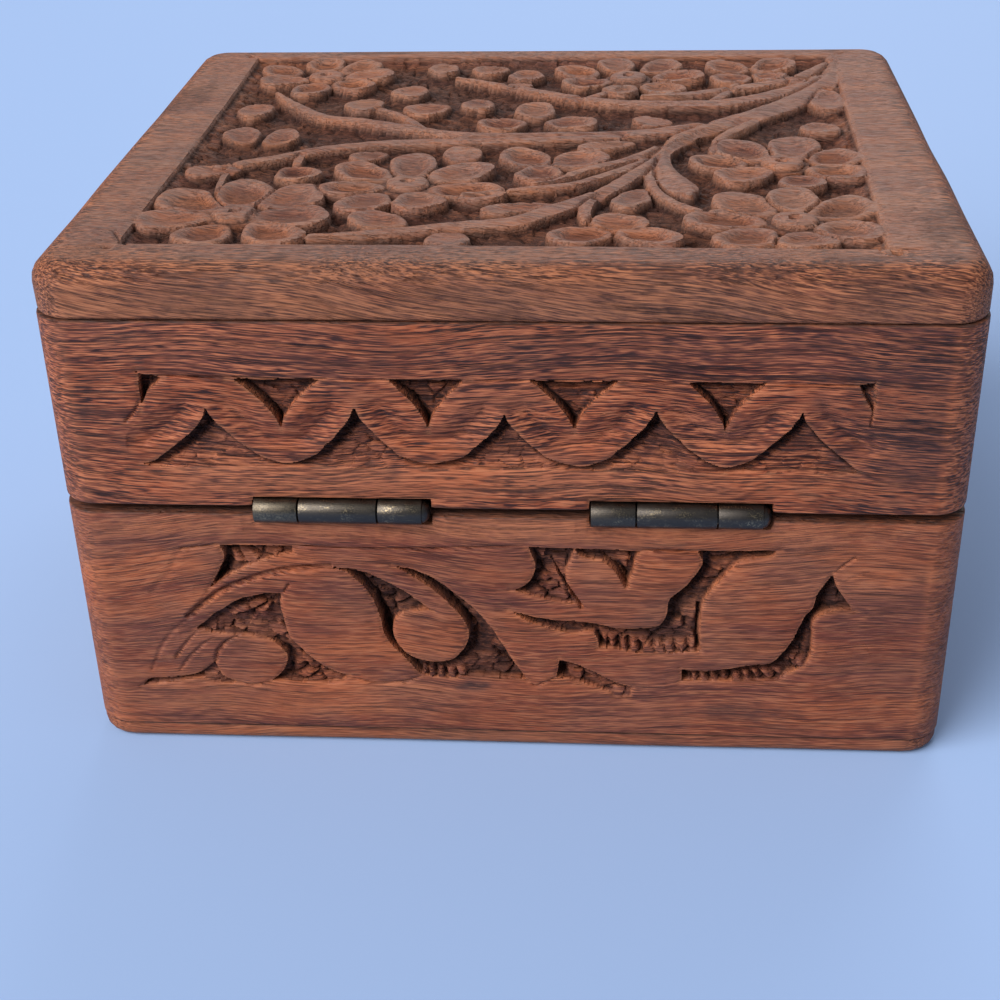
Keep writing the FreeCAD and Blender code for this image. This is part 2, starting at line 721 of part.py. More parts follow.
def export(pieces):
    """Writes each piece to its own STEP file."""
    os.makedirs("parts", exist_ok=True)
    for piece in pieces:
        piece.Shape.exportStep(f"parts/{piece.Label}.step")
        box = piece.Shape.BoundBox
        print(f"{piece.Label}: {len(piece.Shape.Solids)} solid(s), "
              f"{box.XLength:.2f} x {box.YLength:.2f} x {box.ZLength:.2f} mm")


finished = build()
check(finished)
export(finished)
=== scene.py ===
"""Dresses a hinged trinket box: carved wooden boards and two small darkened hinges.

Shapes are worked out in millimetres with numpy. A carved face is a grid over the
board: "across" runs from left to right as the face is seen from outside, "up"
runs up the wall, or towards the hinges on the lid panel. Its height is zero at
the board's surface and negative where wood was cut away.
"""

import logging
import math
from dataclasses import dataclass, field
from enum import Enum
from typing import Callable, Optional, Sequence

import bpy
import numpy as np
from mathutils import Matrix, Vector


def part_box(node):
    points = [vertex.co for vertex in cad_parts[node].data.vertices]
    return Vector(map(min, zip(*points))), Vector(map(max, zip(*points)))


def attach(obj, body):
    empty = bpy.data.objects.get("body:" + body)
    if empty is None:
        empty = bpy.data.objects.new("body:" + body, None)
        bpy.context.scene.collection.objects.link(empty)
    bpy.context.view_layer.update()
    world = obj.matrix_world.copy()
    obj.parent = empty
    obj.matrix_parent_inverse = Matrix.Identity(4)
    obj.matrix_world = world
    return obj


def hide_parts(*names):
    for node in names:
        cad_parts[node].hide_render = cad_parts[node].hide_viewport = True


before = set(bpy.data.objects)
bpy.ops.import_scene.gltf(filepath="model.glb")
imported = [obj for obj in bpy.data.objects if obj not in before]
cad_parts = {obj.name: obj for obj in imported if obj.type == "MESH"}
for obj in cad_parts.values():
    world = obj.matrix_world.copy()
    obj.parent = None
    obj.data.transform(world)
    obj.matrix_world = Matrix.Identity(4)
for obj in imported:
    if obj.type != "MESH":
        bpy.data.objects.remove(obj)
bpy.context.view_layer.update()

LOG = logging.getLogger("trinket_box")
MM = 0.001
Array = np.ndarray
Point = tuple[float, float]
Vector3 = tuple[float, float, float]
Colour = tuple[float, float, float]
Socket = bpy.types.NodeSocket
# Sizes of the tables of random values, and how far inside an edge the cut begins.
LATTICE = 61
CHIPS = 53
SKIN = 0.03


class Facing(Enum):
    """The way a wall board looks out of the box."""

    FRONT = "front"
    BACK = "back"
    LEFT = "left"
    RIGHT = "right"

    @property
    def wide(self) -> bool:
        """Whether the wall runs along X, the box's longer way."""
        return self in (Facing.FRONT, Facing.BACK)

    def place(self, half: float, across: Array, out: Array, up: Array) -> Array:
        """Carries points of a wall into the box's frame.

        Args:
            half: distance from the box's middle to the wall's outer plane.
            across: distance to the right, seen from outside.
            out: distance outwards from the outer plane.
            up: height.

        Returns:
            One row of x, y and z for each point, in millimetres.
        """
        sign = 1 if self in (Facing.FRONT, Facing.RIGHT) else -1
        if self.wide:
            return np.stack([sign * across, -sign * (half + out), up], axis=-1)
        return np.stack([sign * (half + out), sign * across, up], axis=-1)


class Grain(Enum):
    """The way the wood's fibres run in a board."""

    ALONG_X = 0.0
    ALONG_Y = math.pi / 2


# Curves, distances and noise on whole arrays.


def smooth_noise(p: Array, q: Array, cell: Point, seed: int) -> Array:
    """Random values on a lattice, blended by 3t^2 - 2t^3 between its points.

    Args:
        p, q: places across and up.
        cell: size of a lattice cell across and up.
        seed: picks the random values.

    Returns:
        Values from -1 to 1.
    """
    table = np.random.default_rng(seed).uniform(-1.0, 1.0, (LATTICE, LATTICE))
    a, b = p / cell[0], q / cell[1]
    i, j = np.floor(a).astype(int), np.floor(b).astype(int)
    s, t = a - i, b - j
    s, t = s * s * (3 - 2 * s), t * t * (3 - 2 * t)
    i, j, k, m = i % LATTICE, j % LATTICE, (i + 1) % LATTICE, (j + 1) % LATTICE
    low = table[i, j] * (1 - s) + table[k, j] * s
    high = table[i, m] * (1 - s) + table[k, m] * s
    return low * (1 - t) + high * t


def ease(value: Array, low: float, high: float) -> Array:
    """Rises from 0 at low to 1 at high along 3t^2 - 2t^3."""
    t = np.clip((value - low) / (high - low), 0.0, 1.0)
    return t * t * (3 - 2 * t)


def curve_spans(p0: Array, p1: Array, p2: Array, p3: Array, steps: int) -> Array:
    """Points on the spans of a Catmull-Rom curve.

    With t from 0 to 1 along the span from p1 to p2, a point is half of
    2 p1 + (p2 - p0) t + (2 p0 - 5 p1 + 4 p2 - p3) t^2 + (3 p1 - p0 - 3 p2 + p3) t^3.

    Args:
        p0: the place before each span, one row each.
        p1: where each span starts.
        p2: where each span ends.
        p3: the place after each span.
        steps: how many points each span gets.

    Returns:
        The points in order, without the last span's end.
    """
    t = np.linspace(0.0, 1.0, steps, endpoint=False)[:, None, None]
    curve = 0.5 * (
        2 * p1
        + (p2 - p0) * t
        + (2 * p0 - 5 * p1 + 4 * p2 - p3) * t**2
        + (3 * p1 - p0 - 3 * p2 + p3) * t**3
    )
    return curve.transpose(1, 0, 2).reshape(-1, p1.shape[1])


def closed_curve(points: Sequence[Point], steps: int = 5) -> Array:
    """Closed Catmull-Rom curve through points; a point given twice is a sharp corner.

    Args:
        points: the places that the curve goes through, in order.
        steps: how many points each span gets.

    Returns:
        Points on the curve, one row each.
    """
    p = np.asarray(points, float)
    curve = curve_spans(np.roll(p, 1, 0), p, np.roll(p, -1, 0), np.roll(p, -2, 0), steps)
    keep = np.hypot(*(curve - np.roll(curve, 1, 0)).T) > 1e-6
    return curve[keep]


def open_curve(points: Sequence[Sequence[float]], steps: int = 6) -> Array:
    """Open Catmull-Rom curve through points of any number of coordinates.

    Args:
        points: the places that the curve goes through, in order.
        steps: how many points each span gets.

    Returns:
        Points on the curve from the first place to the last.
    """
    p = np.asarray(points, float)
    p = np.vstack([2 * p[0] - p[1], p, 2 * p[-1] - p[-2]])
    return np.vstack([curve_spans(p[:-3], p[1:-2], p[2:-1], p[3:], steps), p[-2]])


def picked(values: Array, best: Array) -> Array:
    """For each place, the value of its best piece."""
    return np.take_along_axis(values, best, -1)[..., 0]


def nearest_on_path(p: Array, q: Array, path: Array) -> tuple[Array, Array, Array]:
    """Distance from points to a chain of straight pieces.

    Args:
        p, q: places across and up.
        path: the chain's points, one row each.

    Returns:
        The distance, the place along the path counted in pieces, and the side (+1 left, -1 right).
    """
    a, e = path[:-1].astype(np.float32), np.diff(path, axis=0).astype(np.float32)
    wp = p[..., None].astype(np.float32) - a[:, 0]
    wq = q[..., None].astype(np.float32) - a[:, 1]
    t = np.clip((wp * e[:, 0] + wq * e[:, 1]) / (e**2).sum(1), 0.0, 1.0)
    square = (wp - t * e[:, 0]) ** 2 + (wq - t * e[:, 1]) ** 2
    best = square.argmin(-1)[..., None]
    side = np.sign(picked(e[:, 0] * wq - e[:, 1] * wp, best))
    return np.sqrt(picked(square, best)), best[..., 0] + picked(t, best), side


def distance_to_outline(p: Array, q: Array, outline: Array) -> Array:
    """Signed distance to a closed outline, negative inside.

    The distance is the least one to any edge. A point is inside when a ray
    to its right crosses the outline an odd number of times.

    Args:
        p, q: places across and up.
        outline: the outline's corners, one row each.

    Returns:
        The signed distances.
    """
    ring = np.vstack([outline, outline[:1]])
    reach = nearest_on_path(p, q, ring)[0]
    a, b = ring[:-1], ring[1:]
    spans = (a[:, 1] <= q[..., None]) != (b[:, 1] <= q[..., None])
    rise = np.where(np.abs(b[:, 1] - a[:, 1]) < 1e-9, 1e-9, b[:, 1] - a[:, 1])
    meets = a[:, 0] + (q[..., None] - a[:, 1]) * (b[:, 0] - a[:, 0]) / rise
    inside = ((spans & (p[..., None] < meets)).sum(-1) % 2).astype(bool)
    return np.where(inside, -reach, reach)


# What a carver cuts.


@dataclass(frozen=True)
class Pocket:
    """Ground sunk into a face, with a closed outline.

    The floor lies at depth, and changes to depth times shallow along the way given,
    by a power of the share of that way.
    """

    points: Sequence[Point]
    depth: float = 1.7
    rise: Point = (0.0, 0.0)
    shallow: float = 1.0
    power: float = 1.0
    rough: float = 1.0

    def outline(self) -> Array:
        """The pocket's smooth outline."""
        return closed_curve(self.points)


@dataclass(frozen=True)
class Groove:
    """A knife line: a V cut along a path, given by its half width and depth."""

    points: Sequence[Point]
    width: float = 0.3
    depth: float = 0.35


@dataclass(frozen=True)
class Teeth:
    """A row of ribs that chisel stabs leave standing along a path on a pocket's floor."""

    points: Sequence[Point]
    pitch: float = 1.0
    reach: float = 1.4
    rise: float = 1.25
    lean: float = 0.35


@dataclass(frozen=True)
class Spot:
    """A dark patch with soft edges, used for stains and for painted shade: place, half sizes and strength.
    A negative one is rubbed pale.
    """

    across: float
    up: float
    wide: float
    high: float
    strength: float = 0.6

    def mark(self, p: Array, q: Array, soft: Point, ragged: Array | float = 0.0) -> Array:
        """Strength at each place, fading between two shares of the half sizes, which may be ragged."""
        share = np.hypot((p - self.across) / self.wide, (q - self.up) / self.high)
        return self.strength * (1 - ease(share + ragged, *soft))


@dataclass
class Relief:
    """A carved face: the places of its grid points, their heights, and masks for its colour and painted
    light.
    """

    across: Array
    up: Array
    height: Array
    sunk: Array
    worn: Array
    stain: Array
    dust: Array


class Carving:
    """A carved face, cut into a board along the edges of its motifs.

    The foot is how far inside the cut its sloping side ends, the crevice shade is painted
    shade along the foot of an edge, and the margin is what is worked out round a motif.
    """

    foot: float = 0.0
    crevice_shade: float = 0.35
    margin: float = 1.5
    full_grime_and_shade: float = 1.7
    edge_wear: float = 0.3

    def cut(self, p: Array, q: Array) -> Array:
        """Signed distance to the sunk ground, negative where wood is cut away."""
        raise NotImplementedError

    def height(self, p: Array, q: Array, cut: Array) -> Array:
        """Height of the carved face at points whose distance to the ground is cut."""
        raise NotImplementedError

    def near(self, p: Array, q: Array, outline: Array) -> tuple[slice, slice]:
        """The rows and columns of the grid that lie around an outline.

        Args:
            p: the grid's places across.
            q: the grid's places up.
            outline: points of the outline, or two corners.

        Returns:
            Slices of the grid, empty when it has no point there.
        """
        (p0, q0), (p1, q1) = outline.min(0) - self.margin, outline.max(0) + self.margin
        rows = np.flatnonzero((q.max(1) >= q0) & (q.min(1) <= q1))
        columns = np.flatnonzero((p.max(0) >= p0) & (p.min(0) <= p1))
        if not len(rows) or not len(columns):
            return slice(0, 0), slice(0, 0)
        return slice(rows[0], rows[-1] + 1), slice(columns[0], columns[-1] + 1)

    def score(self, h: Array, p: Array, q: Array, grooves: Sequence[Groove]) -> None:
        """Cuts knife lines into the heights, each a V that is deepest along its path.

        Args:
            h: the heights, changed in place.
            p: places across.
            q: places up.
            grooves: the knife lines.
        """
        for groove in grooves:
            path = open_curve(groove.points)
            window = self.near(p, q, path)
            d = nearest_on_path(p[window], q[window], path)[0]
            v = -groove.depth * (1 - d / groove.width)
            h[window] = np.where(d < groove.width, np.minimum(h[window], v), h[window])

    def stains_and_shade(self) -> Sequence[Spot]:
        """Dark stains and painted shade on the face."""
        return ()

    def dust(self, p: Array, q: Array, height: Array) -> Array:
        """Share of pale dust with painted sheen; none on a wall."""
        return np.zeros_like(p)

    def carve(self, lines_p: Array, lines_q: Array, step: float) -> Relief:
        """Lays a grid over the face and moves its points onto the motifs' edges and feet.

        A point closer to an edge than 0.45 of a step goes to p - s g, where s is
        the signed distance and g its gradient, so that edges are crisp. A point as
        close to the foot of the cut's side goes to p - (s + foot) g.

        Args:
            lines_p: the grid's lines across.
            lines_q: the grid's lines up.
            step: size of a fine cell.

        Returns:
            The carved face.
        """
        p, q = np.meshgrid(lines_p, lines_q)
        s = self.cut(p, q)
        gq, gp = np.gradient(s, lines_q, lines_p)
        length = np.maximum(np.hypot(gp, gq), 1e-6)
        reach = 0.45 * np.maximum(step, np.abs(gq / length) * np.gradient(lines_q)[:, None])
        move = np.where(np.abs(s) < reach, s, 0.0)
        if self.foot > 0:
            move = np.where((np.abs(s + self.foot) < reach) & (np.abs(s) >= reach), s + self.foot, move)
        move[[0, -1], :] = 0.0
        move[:, [0, -1]] = 0.0
        p = p - move * gp / length
        q = q - move * gq / length
        s = self.cut(p, q)
        h = self.height(p, q, s)
        # Painted shade mixed with grime: the sunk mask grows with depth below the surface and along the
        # foot of the cut's sides, where shade falls, and darkens the wood there.
        along_edge = np.exp(-(((s + self.edge_wear) / self.edge_wear) ** 2)) * (h < -0.35)
        deep = np.clip(-h / self.full_grime_and_shade, 0.0, 1.25) + self.crevice_shade * along_edge
        rub = np.exp(-((s / self.edge_wear) ** 2)) * (s > -SKIN)
        rub *= 0.55 + 0.45 * smooth_noise(p, q, (1.7, 1.3), 5)
        stain = np.zeros_like(p)
        ragged = 0.35 * smooth_noise(p, q, (1.6, 0.6), 31)
        for spot in self.stains_and_shade():
            mark = spot.mark(p, q, (0.35, 1.15), ragged)
            stain = np.maximum(stain, mark)
            rub = np.maximum(rub, -mark)
        return Relief(p, q, h, deep, np.clip(rub, 0, 1), stain, self.dust(p, q, h))


def chipped_ground(p: Array, q: Array, seed: int, cell: Point = (1.9, 1.1)) -> Array:
    """Rough floor that a chisel leaves: flat chips with their own tilt, and torn fibres.

    Each lattice cell holds one random place. A point takes the chip of the
    nearest place, and its height is the chip's level plus its tilt times the
    offset. A crack lies where the two nearest places are equally far. The
    fibres are noise stretched along the grain.

    Args:
        p, q: places across and up.
        seed: picks the random values.
        cell: mean size of a chip across and up.

    Returns:
        Heights about the floor's mean, in millimetres.
    """
    table = np.random.default_rng(seed).uniform(-1.0, 1.0, (5, CHIPS, CHIPS))
    a, b = p / cell[0], q / cell[1]
    i, j = np.floor(a).astype(int), np.floor(b).astype(int)
    nearest, second, height = np.full(p.shape, 99.0), np.full(p.shape, 99.0), np.zeros(p.shape)
    for di in (-1, 0, 1):
        for dj in (-1, 0, 1):
            k, m = (i + di) % CHIPS, (j + dj) % CHIPS
            u = a - (i + di + 0.5 + 0.45 * table[0, k, m])
            v = b - (j + dj + 0.5 + 0.45 * table[1, k, m])
            chip = 0.24 * table[2, k, m] + 0.40 * u * table[3, k, m] + 0.40 * v * table[4, k, m]
            reach = np.hypot(u, v)
            height = np.where(reach < nearest, chip, height)
            second = np.minimum(second, np.maximum(reach, nearest))
            nearest = np.minimum(reach, nearest)
    cracked = ease(smooth_noise(p, q, (2.0, 2.0), seed + 5), -0.3, 0.4)
    height -= 0.5 * (1 - ease(second - nearest, 0.0, 0.25)) * cracked
    fibres = 0.09 * smooth_noise(p, q, (2.4, 0.22), seed + 2)
    return height + fibres + 0.12 * smooth_noise(p, q, (0.6, 0.5), seed + 1)


@dataclass
class PocketCarving(Carving):
    """A frieze cut as separate pockets, so that its leaves or ribbon stay at the surface.

    Its edges are rolled down by the roll and made uneven by the shake, floors are
    deeper by the share under beside their upper left edges, and the surface may be
    shaped by a function of the places.
    """

    pockets: Sequence[Pocket]
    grooves: Sequence[Groove] = ()
    teeth: Sequence[Teeth] = ()
    spots: Sequence[Spot] = ()
    notches: Sequence[Sequence[Point]] = ()
    notch_depth: float = 2.2
    seed: int = 7
    roll: float = 0.16
    shake: float = 0.07
    under: float = 0.75
    chip: Point = (1.9, 1.1)
    soften: Optional[Callable[[Array, Array], Array]] = None

    def __post_init__(self) -> None:
        """Works out each outline once."""
        self.outlines = [pocket.outline() for pocket in self.pockets]
        self.cut_edges = self.outlines + [np.asarray(n, float) for n in self.notches]

    def stains_and_shade(self) -> Sequence[Spot]:
        """Dark stains and painted shade on the face."""
        return self.spots

    def shaken(self, p: Array, q: Array) -> tuple[Array, Array]:
        """Places moved a little by noise, so that cut edges are uneven."""
        across = self.shake * smooth_noise(p, q, (1.2, 0.8), self.seed + 3)
        return p + across, q + self.shake * smooth_noise(p, q, (1.0, 0.9), self.seed + 4)

    def cut(self, p: Array, q: Array) -> Array:
        """Least signed distance to any pocket or hinge notch.

        Args:
            p, q: places across and up.

        Returns:
            The distances, negative where wood is cut away.
        """
        s = np.full(p.shape, 9.0)
        loose = self.shaken(p, q)
        for i, outline in enumerate(self.cut_edges):
            a, b = loose if i < len(self.outlines) else (p, q)
            window = self.near(p, q, outline)
            s[window] = np.minimum(s[window], distance_to_outline(a[window], b[window], outline))
        return s

    def floor(self, p: Array, q: Array, pocket: Pocket, outline: Array) -> Array:
        """Depth of a pocket's floor, shallower along its rise.

        Args:
            p, q: places across and up.
            pocket: the pocket.
            outline: its outline.

        Returns:
            The depths.
        """
        depth = np.full(p.shape, pocket.depth)
        if pocket.rise != (0.0, 0.0):
            way = np.asarray(pocket.rise) / np.hypot(*pocket.rise)
            run = outline @ way
            share = (p * way[0] + q * way[1] - run.min()) / np.ptp(run)
            depth = pocket.depth * (1 + (pocket.shallow - 1) * np.clip(share, 0, 1) ** pocket.power)
        return depth

    def height(self, p: Array, q: Array, cut: Array) -> Array:
        """Floors inside the pockets, knife lines, and a slightly uneven surface elsewhere.

        A floor is deeper beside its upper left edges, where a step that way
        leads out of the pocket.

        Args:
            p, q: places across and up.
            cut: distance to the ground.

        Returns:
            The heights.
        """
        h = 0.05 * smooth_noise(p, q, (9.0, 4.0), self.seed) - 0.05
        if self.soften is not None:
            h = h + self.soften(p, q)
        away = np.maximum(cut, 0)
        h -= self.roll * (np.exp(-((away / 0.25) ** 2)) + np.exp(-((away / 1.3) ** 2)))
        rough = chipped_ground(p, q, self.seed, self.chip)
        a, b = self.shaken(p, q)
        for pocket, outline in zip(self.pockets, self.outlines):
            window = self.near(p, q, outline)
            s = distance_to_outline(a[window], b[window], outline)
            depth = self.floor(p[window], q[window], pocket, outline)
            beyond = distance_to_outline(a[window] - 0.8, b[window] + 0.7, outline)
            deep = -depth * (0.75 + 0.15 * ease(-s, 0.0, 1.6) + self.under * ease(beyond, -0.6, 0.5))
            deep = deep + pocket.rough * rough[window] * np.minimum(1.0, depth)
            deep = np.minimum(deep, -0.10)
            h[window] = np.where(s < -SKIN, np.minimum(h[window], deep), h[window])
        for row in self.teeth:
            path = open_curve(row.points)
            window = self.near(p, q, path)
            d, along, side = nearest_on_path(p[window], q[window], path)
            run = np.concatenate([[0.0], np.cumsum(np.hypot(*np.diff(path, axis=0).T))])
            place = np.interp(along, np.arange(len(path)), run) + row.lean * d * side
            wander = smooth_noise(place, d, (1.7, 3.0), self.seed + 9)
            rib = np.abs(np.sin(math.pi * place / row.pitch + 1.5 * wander)) ** 1.1
            lift = row.rise * (0.75 + 0.45 * wander) * rib * (1 - ease(d, 0.55 * row.reach, row.reach))
            raised = np.minimum(h[window] + lift, -0.4)
            h[window] = np.where(cut[window] < -0.12, np.maximum(h[window], raised), h[window])
        self.score(h, p, q, self.grooves)
        for outline in self.cut_edges[len(self.outlines):]:
            window = self.near(p, q, outline)
            s = distance_to_outline(p[window], q[window], outline)
            h[window] = np.where(s < -SKIN, -self.notch_depth, h[window])
        return h


@dataclass
class RibbonBand:
    """The lid wall's frieze: a flat ribbon that waves between two rows of pockets.

    A pocket's half width grows from its point as a power of the share of its
    height. The ribbon slopes towards the lower pockets, which leaves a crease
    along the middle of each strand.
    """

    high_points: Sequence[float]
    low_points: Sequence[float]
    ends: Point
    top: float = 48.75
    shoulder: float = 39.4
    low_tip: float = 45.3
    high_tip: float = 42.4
    bend: float = 38.55
    crease: float = 2.3
    hollow: float = 0.85
    hollow_foot: Point = (39.6, 41.6)
    hollow_top: Point = (44.6, 47.4)
    seed: int = 11

    def horn(self, middle: float, point: float, edge: float, half: float, power: float) -> list[Point]:
        """Outline of one pocket, from one end of its flat edge round its point to the other.

        Args:
            middle: the point's place across.
            point: the point's height.
            edge: the flat edge's height.
            half: half width at the flat edge.
            power: how the half width grows with the share of the height.

        Returns:
            The outline's places, with its corners given twice.
        """
        share = np.linspace(1.0, 0.0, 9)
        reach = half * share**power
        level = point + (edge - point) * share
        left = list(zip(middle - reach, level))
        right = list(zip(middle + reach, level))[::-1]
        return [left[0]] + left[:-1] + [(middle, point)] * 2 + right[1:] + [right[-1]]

    def lower_edge(self) -> list[Point]:
        """The ribbon's lower edge from left to right: up to each point and round under each bend.

        Returns:
            Places along the edge.
        """
        share = np.linspace(0.0, 1.0, 7)
        edge: list[Point] = []
        for i, e in enumerate(self.low_points):
            point = self.low_tip + 0.5 * math.sin(2.3 * i)
            half = 5.1 + 0.3 * math.sin(1.7 * i + 2)
            reach, level = half * share**1.5, point + (self.shoulder - point) * share
            if i:
                edge.append(((e + self.low_points[i - 1]) / 2, self.bend + 0.12 * math.sin(4.0 * i)))
            edge += list(zip(e - reach[::-1], level[::-1])) + [(e, point)]
            edge += list(zip(e + reach, level))[1:]
        return edge

    def pockets(self) -> list[Pocket]:
        """Upper pockets with their points down, and the ground below the ribbon, which runs out.

        Returns:
            The pockets, the two small ones at the ribbon's ends last.
        """
        cut = []
        for i, e in enumerate(self.high_points):
            width = 4.5 + 0.35 * math.sin(3.1 * i + 1)
            outline = self.horn(e, self.high_tip, self.top, width, 1.75)
            cut.append(Pocket(outline, 1.9, (1.0, 0.5), 0.55, rough=0.7))
        edge = self.lower_edge()
        first, last = edge[0][0], edge[-1][0]
        start = [(first - 2.6, 38.2), (first - 2.6, 38.2), (first - 1.4, 38.5)]
        end = [(last + 1.2, 38.3), (last + 1.2, 38.3)]
        below = [(e, 37.9 + 0.15 * math.sin(0.7 * e)) for e in np.linspace(last, first, 12)]
        cut.append(Pocket(start + edge + end + below, 0.1, (0.0, 1.0), 23.0, 0.5, 0.4))
        left, right = self.ends
        cut.append(Pocket(
            [(left, 49.3), (left, 49.3), (left + 2.6, 48.8), (left + 2.6, 48.8), (left + 0.9, 47.2),
             (left - 0.2, 45.2), (left - 0.2, 45.2)], 1.2))
        cut.append(Pocket(
            [(right, 48.8), (right, 48.8), (right - 1.7, 48.6), (right - 1.7, 48.6), (right - 0.8, 46.8),
             (right + 0.1, 45.2), (right + 0.1, 45.2)], 0.9))
        return cut

    def grooves(self) -> list[Groove]:
        """The knife line above the ribbon, the lines at its two ends and under each bend.

        Returns:
            The knife lines.
        """
        left, right = self.ends
        across = np.linspace(left, right, 14)
        wander = 0.10 * np.sin(across * 0.9) - 0.0035 * across
        lines = [Groove(list(zip(across, self.top + 0.05 + wander)), 0.24, 0.42)]
        lines.append(Groove([(left - 0.1, 46.2), (left - 0.9, 44.8), (left - 2.0, 43.6)], 0.35, 0.4))
        lines.append(Groove([(right, 48.9), (right + 0.1, 46.5), (right - 0.1, 44.0)], 0.25, 0.5))
        for e in self.high_points:
            lines.append(Groove([(e, 42.6), (e + 0.3, 41.6), (e + 1.2, 40.6)], 0.30, 0.4))
        return lines

    def slope(self, p: Array, q: Array) -> Array:
        """Hollows each strand of the ribbon to a crease along its middle.

        At distance t from the ribbon's lower edge the drop is the hollow times
        1 - |t - crease| / crease, and it fades at the top and the foot of each bend.

        Args:
            p, q: places across and up.

        Returns:
            Heights, zero or less.
        """
        edge = open_curve(self.lower_edge(), 3)
        rows = (q[:, 0] > 37.5) & (q[:, 0] < 49.5)
        drop = np.zeros_like(p)
        t = nearest_on_path(p[rows], q[rows], edge)[0]
        facet = np.clip(1 - np.abs(t - self.crease) / self.crease, 0, 1)
        facet *= (1 - ease(q[rows], *self.hollow_top)) * ease(q[rows], *self.hollow_foot)
        drop[rows] = facet * (p[rows] > edge[0, 0] - 4.0) * (p[rows] < edge[-1, 0] + 4.0)
        return -self.hollow * drop

    def carving(self, spots: Sequence[Spot], notches: Sequence[Sequence[Point]]) -> PocketCarving:
        """The frieze as a carving, with the board's stains and painted shade, and its hinge notches."""
        cuts = (self.pockets(), self.grooves(), (), spots, notches)
        return PocketCarving(*cuts, seed=self.seed, roll=0.10, soften=self.slope)


